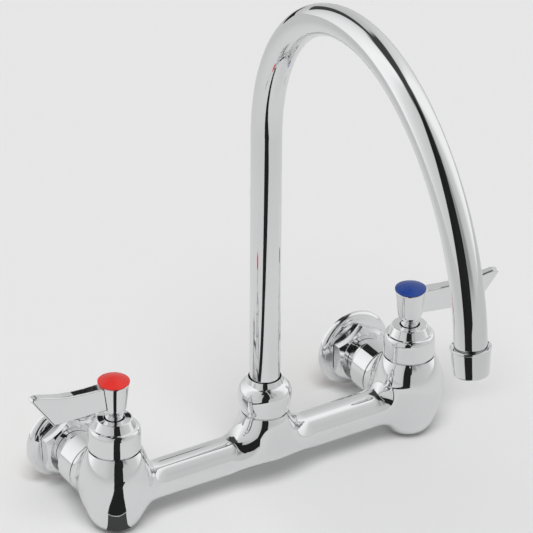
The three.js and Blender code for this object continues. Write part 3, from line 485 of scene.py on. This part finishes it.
# ---------------------------------------------------------------- wall couplings
# Brass sockets behind the flanges: the union nut runs on the front, the supply pipe screws into
# the back. They are left as machined, with the tool's fine rings.
BRASS = finish_of("machined_brass", (0.58, 0.40, 0.15), (0.74, 0.56, 0.26),
                  rough=(0.22, 0.42), metallic=1.0, scales=(90, 1400, 0.6), bump=0.00002)
COUPLING_FRONT, COUPLING_BACK = 54.5, 61.7
FRONT_R, BACK_R, MOUTH_R = 12.5, 16, 10.3
TOOTH_R, TOOTH_DEPTH, TEETH = 9.4, 0.55, 13
teeth = [(TOOTH_R + TOOTH_DEPTH * (k % 2), z)
         for k, z in enumerate(np.linspace(55.6, 61.0, TEETH))]
coupling_outline = rounded([
    (WATERWAY_R, COUPLING_FRONT), (FRONT_R, COUPLING_FRONT, 0.3), (FRONT_R, 57.3),
    (BACK_R, 57.3, 0.3), (BACK_R, COUPLING_BACK, 0.4), (MOUTH_R, COUPLING_BACK, 0.2),
    *teeth[::-1], (WATERWAY_R, 55.2)])
for side, x in SIDES:
    coupling = add(f"{side}_coupling", to_wall(coupling_outline, x, closed=True), 25)
    coupling.data.materials.append(BRASS)
    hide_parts(f"{side}_wall_coupling")
    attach(coupling, "body")

# ---------------------------------------------------------------- bonnets
# Plated caps screwed over the valve cartridges: straight wall over a fine groove at the seam,
# rounded shoulder, a small ledge, a cone and a flat ring round the lever's neck.
BONNET_R, BONNET_BORE_R, COLLAR_BORE_R = 15.4, 12.8, 6.1
GROOVE_R, GROOVE_FOOT, GROOVE_TOP, WALL_TOP = 13.4, 30.8, 31.4, 41.5
SHOULDER_AT, SHOULDER_R, SHOULDER_RISE = (13.25, 41.6), 2.15, 4.1
shoulder = [(SHOULDER_AT[0] + SHOULDER_R * math.cos(a),
             SHOULDER_AT[1] + SHOULDER_RISE * math.sin(a)) for a in np.linspace(0, 1.4, 14)]
wall = rounded([
    (BONNET_BORE_R, GROOVE_FOOT), (GROOVE_R, GROOVE_FOOT), (GROOVE_R, GROOVE_TOP),
    (BONNET_R, GROOVE_TOP, 0.3), (BONNET_R, WALL_TOP)], closed=False)
cap = rounded([
    shoulder[-1], (12.75, 45.95, 0.5), (10.4, 50.95, 1.1), (COLLAR_BORE_R, 51.2, 0.3),
    (COLLAR_BORE_R, 48.6), (10.1, 48.6), (BONNET_BORE_R, WALL_TOP)], steps=7, closed=False)
bonnet_outline = [*wall, *shoulder, *cap[1:]]
for side, x in SIDES:
    bonnet = add(f"{side}_cap", upright(bonnet_outline, x, sides=160, closed=True), 60)
    bonnet.data.materials.append(CHROME)
    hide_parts(f"{side}_bonnet")
    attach(bonnet, "body")

# ---------------------------------------------------------------- valve cartridges
# Inside each bulb: a brass headwork and stem, a pair of lapped alumina discs, the rubber seat seal
# and O-ring, and a sprung steel clip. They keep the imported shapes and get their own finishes.
CERAMIC = finish_of("lapped_alumina", (0.80, 0.78, 0.71), (0.88, 0.86, 0.80),
                    rough=(0.18, 0.30), metallic=0.0, scales=(120, 2500, 0.7))
RUBBER = finish_of("black_rubber", (0.012, 0.012, 0.013), (0.030, 0.030, 0.032),
                   rough=(0.55, 0.80), metallic=0.0, scales=(150, 2000, 0.6), bump=0.00003)
STEEL = finish_of("stainless_steel", (0.50, 0.51, 0.53), (0.62, 0.63, 0.64),
                  rough=(0.18, 0.34), metallic=1.0, scales=(80, 1800, 0.6))
KEPT = {
    BRASS: ("{}_cartridge_body", "{}_stem"),
    CERAMIC: ("{}_fixed_disc", "{}_moving_disc"),
    RUBBER: ("{}_seat_seal", "{}_stem_o_ring", "{}_union_washer"),
    STEEL: ("{}_stem_clip", "{}_handle_screw"),
}


def refinish(node, material):
    """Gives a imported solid, which keeps its shape, the material of the real piece."""
    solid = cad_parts[node]
    for place in solid.material_slots:
        place.material = material


for side, _ in SIDES:
    for material, nodes in KEPT.items():
        for node in nodes:
            refinish(node.format(side), material)

# ---------------------------------------------------------------- levers
# Die-cast and plated. The hub is a tapered drum on a narrow neck; the blade stands on edge, thins
# towards its raised tip and is cut off on a slant. A screw sits in the hub, under the button.
LEVER_TURN = {"hot": 180.0, "cold": -15.0}
HUB_FOOT, HUB_TOP, HUB_FOOT_R = 54.8, 74.3, 6.9
# For each millimetre of height the hub widens by HUB_TAPER, and its side is HUB_SLANT long.
HUB_TAPER, HUB_SLANT = 0.108, 1.0058
HALF_ROOT = 0.7071
LEVER_NECK_R, LEVER_NECK_FOOT, LEVER_NECK_TOP = 5.4, 45.0, 60
BLADE_HALF, BLADE_THINNING, BLADE_REACH = 4.0, 1.35, 54.5
BLADE_OUTLINE = np.array([
    (-2, 59.5), (41, 59.5), (53.7, 78.0), (54.5, 79.4), (53.6, 80.6), (50.8, 80.9), (46, 79.7),
    (40, 77.8), (34, 76.3), (27, 75.3), (18, 74.6), (10, 74.3), (-2, 74.2)])
FOOT_EDGE, TOP_EDGE, BLADE_EDGE, LEVER_FILLET = 1.4, 0.8, 0.9, 1.2


def to_outline(points, x, z):
    """Signed distance from (x, z) to a closed outline: the least distance to its sides, negative
    where a ray crosses an odd number of them."""
    nearest, odd = np.inf, False
    for (ax, az), (bx, bz) in zip(points, np.roll(points, -1, 0)):
        ex, ez = bx - ax, bz - az
        along = np.clip(((x - ax) * ex + (z - az) * ez) / (ex * ex + ez * ez), 0, 1)
        nearest = np.minimum(nearest, (x - ax - along * ex) ** 2 + (z - az - along * ez) ** 2)
        if ez:
            odd = odd ^ (((az > z) != (bz > z)) & (x < ax + (z - az) / ez * ex))
    return np.where(odd, -1, 1) * np.sqrt(nearest)


def melt_out(a, b, reach):
    """The greater of two distances, run together smoothly."""
    return -melt(-a, -b, reach)


def lever_form(x, y, z):
    """Distance to the lever: cone, foot chamfer, top and neck make the hub, which is melted into
    the blade, itself its outline's distance run together with half its thickness."""
    r = np.hypot(x, y)
    cone = (r - HUB_FOOT_R - (z - HUB_FOOT) * HUB_TAPER) / HUB_SLANT
    chamfer = (r - z + HUB_FOOT - LEVER_NECK_R) * HALF_ROOT
    hub = melt_out(melt_out(cone, chamfer, FOOT_EDGE), z - HUB_TOP, TOP_EDGE)
    neck = np.maximum(r - LEVER_NECK_R, LEVER_NECK_FOOT - z)
    neck = np.maximum(neck, z - LEVER_NECK_TOP)
    hub = melt(hub, neck, LEVER_FILLET)
    half = BLADE_HALF - BLADE_THINNING * np.clip(x / BLADE_REACH, 0, 1)
    blade = melt_out(to_outline(BLADE_OUTLINE, x, z), np.abs(y) - half, BLADE_EDGE)
    return melt(hub, blade, LEVER_FILLET)


LEVER_LOW, LEVER_HIGH, LEVER_CELL = (-10.6, -10.4, 44.2), (56.2, 10.4, 82.4), 0.5
form = skin(lever_form, LEVER_LOW, LEVER_HIGH, LEVER_CELL)
# Up through the hub: the stem's bore, the screw's hole and the well under the button.
BORE_R, BORE_TOP, SCREW_R, WELL_FLOOR, WELL_R = 3.8, 64, 2.2, 66, 6.6
bore_outline = stepped(40, (BORE_R, BORE_TOP), (SCREW_R, WELL_FLOOR), (WELL_R, 85))
# Where hub and blade melt they swell over the hub's top. A thin slab parts the swell from the hub,
# under the button's rim.
PART_HALF, PART_LOW, PART_HIGH = 14, HUB_TOP + 0.02, HUB_TOP + 0.04
for side, x in SIDES:
    turn = Matrix.Rotation(math.radians(LEVER_TURN[side]), 4, "Z")
    solid = carve(
        mesh_of("lever", *form, Matrix.Translation((x, 0, 0)) @ turn),
        ("DIFFERENCE", block((x - PART_HALF, -PART_HALF, PART_LOW),
                             (x + PART_HALF, PART_HALF, PART_HIGH))),
        ("DIFFERENCE", upright(bore_outline, x)))
    lever = add(f"{side}_handle", solid)
    lever.data.materials.append(CHROME)
    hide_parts(f"{side}_lever")
    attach(lever, f"{side}_handle")

# ---------------------------------------------------------------- index buttons
# Moulded plastic caps pressed into the hubs, glossy and slightly domed: red for hot, blue for
# cold. They are plain, with a rounded rim and a plug below.
GLOSS = dict(rough=(0.22, 0.32), metallic=0.0, scales=(90, 1600, 0.4), specular=0.3)
BUTTONS = {
    "hot": finish_of("red_plastic", (0.66, 0.030, 0.024), (0.76, 0.042, 0.034), **GLOSS),
    "cold": finish_of("blue_plastic", (0.016, 0.052, 0.25), (0.023, 0.064, 0.29), **GLOSS),
}
BUTTON_R, CROWN_R, CROWN_FOOT, CROWN_RISE = 9.35, 9.0, 75.5, 2
PLUG_R, PLUG_FOOT, rim_foot = 6.3, 70.3, HUB_TOP + GAP
crown = [(r, CROWN_FOOT + CROWN_RISE * (1 - (r / BUTTON_R) ** 2))
         for r in np.linspace(CROWN_R, 0, 14)]
button_foot = rounded([
    (0, 75.0), (5.1, 75.0, 0.3), (5.1, PLUG_FOOT), (PLUG_R, PLUG_FOOT, 0.2), (PLUG_R, rim_foot),
    (BUTTON_R, rim_foot, 0.3), (BUTTON_R, 75.6, 0.35), crown[0]], steps=6, closed=False)
for side, x in SIDES:
    button = add(f"{side}_button", upright([*button_foot[:-1], *crown], x, sides=128))
    button.data.materials.append(BUTTONS[side])
    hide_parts(f"{side}_index_button")
    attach(button, f"{side}_handle")

# ---------------------------------------------------------------- spout nut
# A ball-shaped plated nut with a small cone on top, screwed on the boss's spigot. It holds the
# spout's foot down and leaves it free to swing.
BELLY_R, BELLY_SWELL, BELLY_Z = 8.0, 7.9, 36.1
BELLY_BELOW, BELLY_ABOVE = 15.1, 8.2
SPIGOT_BORE_R, TUBE_BORE_R = 11.6, 9.6
belly = [(BELLY_R + BELLY_SWELL * math.cos(a),
          BELLY_Z + (BELLY_BELOW if a < 0 else BELLY_ABOVE) * math.sin(a))
         for a in np.linspace(-0.6, 1.1, 30)]
nut_foot = rounded([
    (SPIGOT_BORE_R, 24.3), (12.2, 24.3), (12.2, 24.95), (14.1, 24.95, 0.3), (14.2, 26.2, 2.0),
    belly[0]], closed=False)
nut_head = rounded([
    belly[-1], (11.15, 43.75, 0.5), (10.0, 46.9, 0.2), (9.8, 46.9), (TUBE_BORE_R, 46.2),
    (TUBE_BORE_R, 38.1), (SPIGOT_BORE_R, 38.1)], closed=False)
nut_outline = [*nut_foot[:-1], *belly, *nut_head[1:]]
collar_nut = add("swivel_nut", upright(nut_outline, 0, sides=160, closed=True), 60)
collar_nut.data.materials.append(CHROME)
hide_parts("spout_nut")
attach(collar_nut, "body")

# ---------------------------------------------------------------- spout swivel
# A brass ferrule turns in the boss on two O-rings, between a nylon bearing washer and a nylon
# retaining ring. All of it is inside the nut and the boss.
NYLON = finish_of("moulded_nylon", (0.74, 0.73, 0.68), (0.82, 0.81, 0.77),
                  rough=(0.38, 0.55), metallic=0.0, scales=(100, 1500, 0.5), bump=0.00002)
refinish("spout_ferrule", BRASS)
refinish("spout_o_ring_lower", RUBBER)
refinish("spout_o_ring_upper", RUBBER)
refinish("spout_bearing_washer", NYLON)
refinish("spout_retaining_ring", NYLON)

# ---------------------------------------------------------------- spout tube
# 18 mm brass tube with a 1 mm wall, bent over a large crest and down a wider front leg, polished
# and plated. It is swung 5 degrees round the riser.
TUBE_R, TUBE_WALL, TUBE_EDGE = 9.0, 1.0, 0.3
RINGS, RING_POINTS, RING_INSET = 270, 112, 3
RISER_FOOT, RISER_TOP = 37.3, 206.1
BENDS = ((112.4, 118.0), (136.2, 55.8))
TUBE_TAIL = 11.4
SWING = Matrix.Rotation(math.radians(-5), 4, "Z")


def spout_line(length):
    """Centre line at each length: forward and up distance and heading, along a straight riser, two
    arcs and a straight end."""
    length = np.asarray(length, float)
    done, turned_by = RISER_TOP - RISER_FOOT, 0.0
    forward, up, heading = 0 * length, RISER_FOOT + np.minimum(length, done), 0 * length
    for radius, sweep in BENDS:
        angle = np.clip((length - done) / radius, 0, math.radians(sweep))
        forward = forward + radius * (math.cos(turned_by) - np.cos(turned_by + angle))
        up = up + radius * (np.sin(turned_by + angle) - math.sin(turned_by))
        heading = heading + angle
        done, turned_by = done + radius * math.radians(sweep), turned_by + math.radians(sweep)
    rest = np.maximum(length - done, 0)
    return forward + rest * np.sin(turned_by), up + rest * np.cos(turned_by), heading


# Rings stand close together at both ends, where the outer edge is rounded by TUBE_EDGE.
tube_end = RISER_TOP - RISER_FOOT + sum(r * math.radians(a) for r, a in BENDS) + TUBE_TAIL
stations = np.concatenate([
    [0, TUBE_EDGE / 2, TUBE_EDGE], np.linspace(RING_INSET, tube_end - RING_INSET, RINGS),
    [tube_end - TUBE_EDGE, tube_end - TUBE_EDGE / 2, tube_end]])
depth = np.maximum(TUBE_EDGE - np.minimum(stations, tube_end - stations), 0)
ease = TUBE_EDGE - np.sqrt(np.maximum(TUBE_EDGE ** 2 - depth ** 2, 0))
radii = np.concatenate([TUBE_R - ease, (TUBE_R - TUBE_WALL + 0 * ease)[::-1]])
forward, up, heading = spout_line(np.concatenate([stations, stations[::-1]]))
turn = np.linspace(0, 2 * np.pi, RING_POINTS, endpoint=False)
out = radii[:, None] * np.sin(turn)
grid = np.stack([
    radii[:, None] * np.cos(turn),
    -(forward[:, None] + out * np.cos(heading)[:, None]),
    up[:, None] - out * np.sin(heading)[:, None]], -1)
tube = add("gooseneck", mesh_of("tube", *quads_of(grid, along=True), SWING), 60)
tube.data.materials.append(CHROME)
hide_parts("spout_tube")
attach(tube, "spout")

# ---------------------------------------------------------------- outlet
# A plated collar round the tube's end, with an open lip above and a turned-in foot below. It holds
# a rubber washer, a moulded flow straightener and a fine steel screen.
TUBE_IN_COLLAR = 6.0
rim_forward, rim_up, rim_heading = spout_line([tube_end - TUBE_IN_COLLAR])
OUTLET = (SWING @ Matrix.Translation((0, -rim_forward[0], rim_up[0]))
          @ Matrix.Rotation(rim_heading[0] - math.pi, 4, "X"))
COLLAR_R, COLLAR_FOOT, MOUTH_HOLE_R, MOUTH_FLOOR = 11.1, 16.2, 7.2, 14.6
NIPPLE_BORE_R, LIP_BORE_R = 8.7, 9.3
# The outline's heights run down from the collar's rim, so they are turned over for the lathe.
collar_outline = rounded([
    (10.5, -0.2, 0.25), (COLLAR_R, -0.2, 0.3), (COLLAR_R, 1.1, 0.3), (10.75, 1.3, 0.2),
    (9.5, COLLAR_FOOT, 2.3), (MOUTH_HOLE_R, COLLAR_FOOT, 0.3), (MOUTH_HOLE_R, MOUTH_FLOOR),
    (NIPPLE_BORE_R, MOUTH_FLOOR), (NIPPLE_BORE_R, 6.8), (LIP_BORE_R, 6.0),
    (LIP_BORE_R, 1.7, 0.1), (10.35, 1.6, 0.7)]) * (1, -1)
ring = quads_of(lathe(collar_outline, 160), along=True)
collar = add("outlet_ring", mesh_of("outlet", *ring, OUTLET), 60)
collar.data.materials.append(CHROME)
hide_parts("outlet_collar")
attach(collar, "spout")

refinish("outlet_nipple", BRASS)
refinish("aerator_washer", RUBBER)
refinish("aerator_insert", NYLON)

# The screen: two layers of fine wire, woven over and under, in a flat ring.
WIRES, PITCH, WIRE_R, WIRE_SWAY = 13, 1.15, 0.16, 0.17
SCREEN_Z, SCREEN_R = -14.0, 7.3
FRAME_IN, FRAME_OUT, FRAME_HALF, FRAME_EDGE = 7.0, 8.2, 0.3, 0.05
frame_ring = rounded([(r, SCREEN_Z + z, FRAME_EDGE) for r, z in (
    (FRAME_IN, -FRAME_HALF), (FRAME_OUT, -FRAME_HALF), (FRAME_OUT, FRAME_HALF),
    (FRAME_IN, FRAME_HALF))])
vertices, faces = quads_of(lathe(frame_ring, 96), along=True)
parts, quads, offset = [vertices], [faces], len(vertices)
round_wire = np.linspace(0, 2 * np.pi, 6, endpoint=False)
for layer, over in ((0, -1), (1, 1)):
    for k in range(WIRES):
        middle = (k - (WIRES - 1) / 2) * PITCH
        half = math.sqrt(SCREEN_R ** 2 - middle ** 2)
        run = np.linspace(-half, half, 56)
        sway = WIRE_SWAY * np.cos(np.pi * run / PITCH + np.pi * (k + layer)) * over
        wide = middle + WIRE_R * np.cos(round_wire)[None, :] + 0 * run[:, None]
        high = SCREEN_Z + sway[:, None] + WIRE_R * np.sin(round_wire)[None, :]
        length = run[:, None] + 0 * wide
        strand = np.stack([length, wide, high] if layer else [wide, length, high], -1)
        tips = strand[[0, -1]].mean(1, keepdims=True).repeat(6, 1)
        strand = np.concatenate([tips[:1], strand, tips[1:]])
        if not layer:
            strand = strand[:, ::-1]
        vertices, faces = quads_of(strand)
        parts.append(vertices)
        quads.append(faces + offset)
        offset += len(vertices)
woven = mesh_of("screen", np.concatenate(parts), np.concatenate(quads), OUTLET)
screen = add("outlet_screen", woven)
screen.data.materials.append(STEEL)
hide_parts("aerator_screen")
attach(screen, "spout")

# ---------------------------------------------------------------- studio
# A level pale floor under the bulbs and a pale surround. Polished metal mirrors a room instead,
# with white walls, a dim ceiling that has a black opening, a black panel and cloth and a grey card
# on the camera's side, and a dark stand and board behind. Only mirrored rays meet these.
FLOOR_Z, FLOOR_HALF = -0.0263, 4
PALE, BACKDROP = 0.43, 0.785
# The camera stands at this bearing from the faucet, in degrees from the X axis.
CAMERA_SIDE = math.degrees(math.atan2(-0.8483, -0.5295))


def feed(tree, sockets, terms):
    """Gives each socket its term: a number, or a link from another node's output."""
    for socket, term in zip(sockets, terms):
        if isinstance(term, (int, float)):
            socket.default_value = term
        else:
            tree.links.new(term, socket)


def math_node(tree, operation, *terms):
    """Output of a Math node on numbers or other outputs."""
    node = tree.nodes.new("ShaderNodeMath")
    node.operation = operation
    feed(tree, node.inputs, terms)
    return node.outputs[0]


def blend_node(tree, share, first, second):
    """first where share is 0, second where it is 1."""
    node = tree.nodes.new("ShaderNodeMix")
    feed(tree, (node.inputs[0], node.inputs[2], node.inputs[3]), (share, first, second))
    return node.outputs[0]


def eased(tree, value, start, end):
    """0 below start, 1 above end, smooth between; start may be the greater."""
    target = (0, 1) if start < end else (1, 0)
    return ranged(tree, value, sorted((start, end)), target, smooth=True)


def cloud_of(tree, scale, low, high):
    """Noise on Object coordinates between two levels, and the coordinates' own output."""
    where = tree.nodes.new("ShaderNodeTexCoord").outputs["Object"]
    noise = tree.nodes.new("ShaderNodeTexNoise")
    noise.inputs["Scale"].default_value = scale
    tree.links.new(where, noise.inputs["Vector"])
    return ranged(tree, noise.outputs["Fac"], (0, 1), (low, high)), where


def plain_material(name, kind, build):
    """A material of one plain shader of that kind, whose colour build(tree) makes."""
    material = bpy.data.materials.new(name)
    material.use_nodes = True
    tree = material.node_tree
    tree.nodes.remove(tree.nodes["Principled BSDF"])
    surface = tree.nodes.new(kind)
    tree.links.new(build(tree), surface.inputs["Color"])
    tree.links.new(surface.outputs[0], tree.nodes["Material Output"].inputs["Surface"])
    return material


def paper(tree):
    """White paper with a faint tooth. Mirrored in the metal, it dims with its distance."""
    tint, where = cloud_of(tree, 400, 0.785, 0.795)
    far = tree.nodes.new("ShaderNodeVectorMath")
    far.operation = "LENGTH"
    tree.links.new(where, far.inputs[0])
    dimming = ranged(tree, far.outputs["Value"], (0.1, 0.8), (0.89, 0.73), smooth=True)
    seen = tree.nodes.new("ShaderNodeLightPath")
    share = blend_node(tree, seen.outputs["Is Glossy Ray"], 1.0, dimming)
    return math_node(tree, "MULTIPLY", tint, share)


def dull(low, high):
    """Builder of a dull surface between two levels, a little lighter in places."""
    return lambda tree: cloud_of(tree, 9, low, high)[0]


def fading_grey(tree):
    """Grey card that lightens to the wall's level towards its foot and its outer end."""
    parts = tree.nodes.new("ShaderNodeSeparateXYZ")
    where = tree.nodes.new("ShaderNodeTexCoord")
    tree.links.new(where.outputs["Object"], parts.inputs[0])
    upper = eased(tree, parts.outputs[2], 0.17, 0.30)
    inner = eased(tree, parts.outputs[0], 0.14, 0.02)
    return ranged(tree, math_node(tree, "MULTIPLY", upper, inner), (0, 1), (0.57, 0.30))


def sheet_of(name, corners, material):
    """A flat sheet with the given corners, in metres."""
    mesh = bpy.data.meshes.new(name)
    mesh.from_pydata(corners, [], [tuple(range(len(corners)))])
    sheet = bpy.data.objects.new(name, mesh)
    bpy.context.scene.collection.objects.link(sheet)
    sheet.data.materials.append(material)
    return sheet


def facing(across, height, distance):
    """A point by its place across the view, its height over the floor and its distance in front."""
    side = math.radians(CAMERA_SIDE)
    ahead_x, ahead_y = math.cos(side), math.sin(side)
    return (distance * ahead_x - across * ahead_y,
            distance * ahead_y + across * ahead_x - WALL_Y / 1000, height + FLOOR_Z)


sheet_of("floor", [(x * FLOOR_HALF, y * FLOOR_HALF, FLOOR_Z)
                   for x, y in ((-1, -1), (1, -1), (1, 1), (-1, 1))],
         plain_material("floor_paper", "ShaderNodeBsdfDiffuse", paper))

BLACK = plain_material("black_cloth", "ShaderNodeEmission", dull(0.008, 0.026))
GREY = plain_material("grey_card", "ShaderNodeEmission", fading_grey)
CHARCOAL = plain_material("charcoal_cloth", "ShaderNodeEmission", dull(0.045, 0.075))
WOOD = plain_material("dark_wood", "ShaderNodeEmission", dull(0.04, 0.07))
CLOTH_LIFT, PANEL, STAND = 0.0002, 0.46, -0.30
CARD = PANEL + 0.004
BOARD_Y, BOARD_WIDTH, BOARD_LOW, BOARD_HIGH = 0.2, 0.125, 0.213, 0.252
cards = [
    sheet_of("cloth_end", [facing(a, CLOTH_LIFT, d) for a, d in (
        (-0.0910, 0.056), (-0.0930, 0.070), (-0.0955, 0.0815), (-0.0698, 0.0798),
        (-0.0745, 0.068), (-0.0765, 0.056))], CHARCOAL),
    sheet_of("dark_cloth", [facing(a, CLOTH_LIFT, d) for a, d in (
        (-0.0963, 0.0821), (-0.0965, 0.095), (-0.0942, 0.122), (-0.0882, 0.182), (-0.088, PANEL),
        (0.125, PANEL), (0.129, 0.377), (0.03, 0.275), (-0.012, 0.22), (-0.0330, 0.169),
        (-0.0565, 0.116), (-0.0650, 0.0915), (-0.0690, 0.0804))], BLACK),
    sheet_of("dark_panel", [facing(a, h, PANEL) for a, h in (
        (-0.088, 0), (-0.089, 0.1), (-0.086, 0.2), (-0.072, 0.3), (-0.055, 0.4), (-0.046, 0.5),
        (-0.035, 0.6), (-0.022, 0.7), (-0.010, 0.95), (0.36, 0.95), (0.285, 0.7), (0.245, 0.6),
        (0.222, 0.5), (0.212, 0.4), (0.2, 0.3), (0.182, 0.185), (0.145, 0.16), (0.138, 0.1),
        (0.125, 0))], BLACK),
    sheet_of("grey_card", [facing(a, h, CARD) for a, h in (
        (0.15, 0.18), (0.15, 0.95), (0.48, 0.95), (0.48, 0.18))], GREY),
    sheet_of("dark_stand", [facing(a, h, STAND) for a, h in (
        (-0.192, 0.335), (-0.0795, 0.335), (-0.0795, 1.2), (-0.192, 1.2))], WOOD),
    sheet_of("dark_board", [(x, BOARD_Y, z) for x, z in (
        (0, BOARD_LOW), (BOARD_WIDTH, BOARD_LOW), (BOARD_WIDTH, BOARD_HIGH), (0, BOARD_HIGH))],
        BLACK),
]
for card in cards:
    card.visible_camera = card.visible_diffuse = False
    card.visible_shadow = card.visible_transmission = False

world = bpy.data.worlds.new("studio")
bpy.context.scene.world = world
world.use_nodes = True
air = world.node_tree

# bearing is in degrees from the camera's side, positive to the camera's right; rise is the angle
# above level
direction = air.nodes.new("ShaderNodeTexCoord")
turned = air.nodes.new("ShaderNodeVectorRotate")
turned.rotation_type = "Z_AXIS"
turned.inputs["Angle"].default_value = math.radians(-CAMERA_SIDE)
air.links.new(direction.outputs["Generated"], turned.inputs["Vector"])
axes = air.nodes.new("ShaderNodeSeparateXYZ")
air.links.new(turned.outputs[0], axes.inputs[0])
bearing = math_node(air, "ARCTAN2", axes.outputs[1], axes.outputs[0])
bearing = math_node(air, "DEGREES", bearing)
rise = math_node(air, "DEGREES", math_node(air, "ARCSINE", axes.outputs[2]))


def round_room(stops):
    """Straight-line table of (bearing, level) stops, all the way round."""
    ramp = air.nodes.new("ShaderNodeValToRGB")
    while len(ramp.color_ramp.elements) < len(stops):
        ramp.color_ramp.elements.new(1.0)
    for element, (at, level) in zip(ramp.color_ramp.elements, stops):
        element.position, element.color = (at + 180) / 360, (level, level, level, 1)
    air.links.new(ranged(air, bearing, (-180, 180), (0, 1)), ramp.inputs["Fac"])
    return ramp.outputs["Color"]


# The walls' levels by bearing. In front they differ low down and high up, and change over the
# rises of UPWARDS.
LEFT_WALL = ((-180, 0.58), (-162, 0.53), (-148, 0.68), (-132, 0.84), (-104, 1.02), (-92, 0.98),
             (-78, 0.79), (-60, 0.69))
RIGHT_WALL = ((86, 0.66), (98, 0.86), (112, 0.98), (136, 0.99), (152, 0.76), (165, 0.68),
              (180, 0.58))
LOW_FRONT = ((-30, 0.64), (-10, 0.54), (30, 0.56), (50, 0.58), (66, 0.61))
HIGH_FRONT = ((-30, 0.63), (20, 0.27), (40, 0.31), (52, 0.42), (66, 0.60))
# The ceiling begins at this rise on each bearing, and is dim.
CEILING_EDGE = ((-180, 42), (-166, 47), (-152, 46), (-136, 50), (-122, 62), (-110, 71), (-90, 75),
                (-30, 76), (30, 58), (45, 62), (60, 69), (85, 75), (140, 77), (158, 72),
                (170, 62), (180, 42))
CEILING, CEILING_SOFT, OPENING = 0.055, 5, 0.016
UPWARDS, OPENING_RISE = (18, 40), (50, 56)
walls = blend_node(air, eased(air, rise, *UPWARDS),
                   round_room((*LEFT_WALL, *LOW_FRONT, *RIGHT_WALL)),
                   round_room((*LEFT_WALL, *HIGH_FRONT, *RIGHT_WALL)))
edge_rise = math_node(air, "MULTIPLY", round_room([(a, e / 90) for a, e in CEILING_EDGE]), 90)
dim = eased(air, math_node(air, "SUBTRACT", rise, edge_rise), -CEILING_SOFT, CEILING_SOFT)
room = blend_node(air, dim, walls, CEILING)
# The opening lies high up on the camera's side, between two slanting edges.
edges = []
for slant, start, end in ((0.2, -35, -31), (0.42, 20, 13)):
    slanted = math_node(air, "SUBTRACT", bearing, math_node(air, "MULTIPLY", rise, slant))
    edges.append(eased(air, slanted, start, end))
opening = math_node(air, "MULTIPLY", *edges)
opening = math_node(air, "MULTIPLY", opening, eased(air, rise, *OPENING_RISE))
room = blend_node(air, opening, room, OPENING)

seen = air.nodes.new("ShaderNodeLightPath")
lit = blend_node(air, seen.outputs["Is Glossy Ray"], PALE, room)
shown = blend_node(air, seen.outputs["Is Camera Ray"], lit, BACKDROP)
air.links.new(shown, air.nodes["Background"].inputs["Color"])

SUN_AIM = Vector((0.26, 0.42, -0.87))
sun_data = bpy.data.lights.new("overhead", "SUN")
sun_data.energy, sun_data.angle = 2.08, math.radians(32)
sun = bpy.data.objects.new("overhead", sun_data)
sun.rotation_euler = SUN_AIM.to_track_quat("-Z", "Y").to_euler()
sun.visible_glossy = False
bpy.context.scene.collection.objects.link(sun)

# ---------------------------------------------------------------- camera
# A long lens from the front left, 30 degrees above the faucet. Its place and its three axes come
# from the fit to the photograph.
camera_data = bpy.data.cameras.new("camera")
camera_data.lens, camera_data.sensor_width = 276.553, 36.0
camera_data.clip_end = 20
camera = bpy.data.objects.new("camera", camera_data)
eye = Vector((-1.083952, -1.799466, 1.290444))
right = Vector((0.85009102, -0.52660123, 0.00603289))
upward = Vector((0.25738644, 0.42543789, 0.86761444))
ahead = Vector((0.45945345, 0.73599847, -0.49720095))
facing_axes = Matrix((right, upward, -ahead)).transposed().to_4x4()
camera.matrix_world = Matrix.Translation(eye) @ facing_axes
bpy.context.scene.collection.objects.link(camera)
bpy.context.scene.camera = camera
bpy.context.scene.view_settings.view_transform = "Standard"
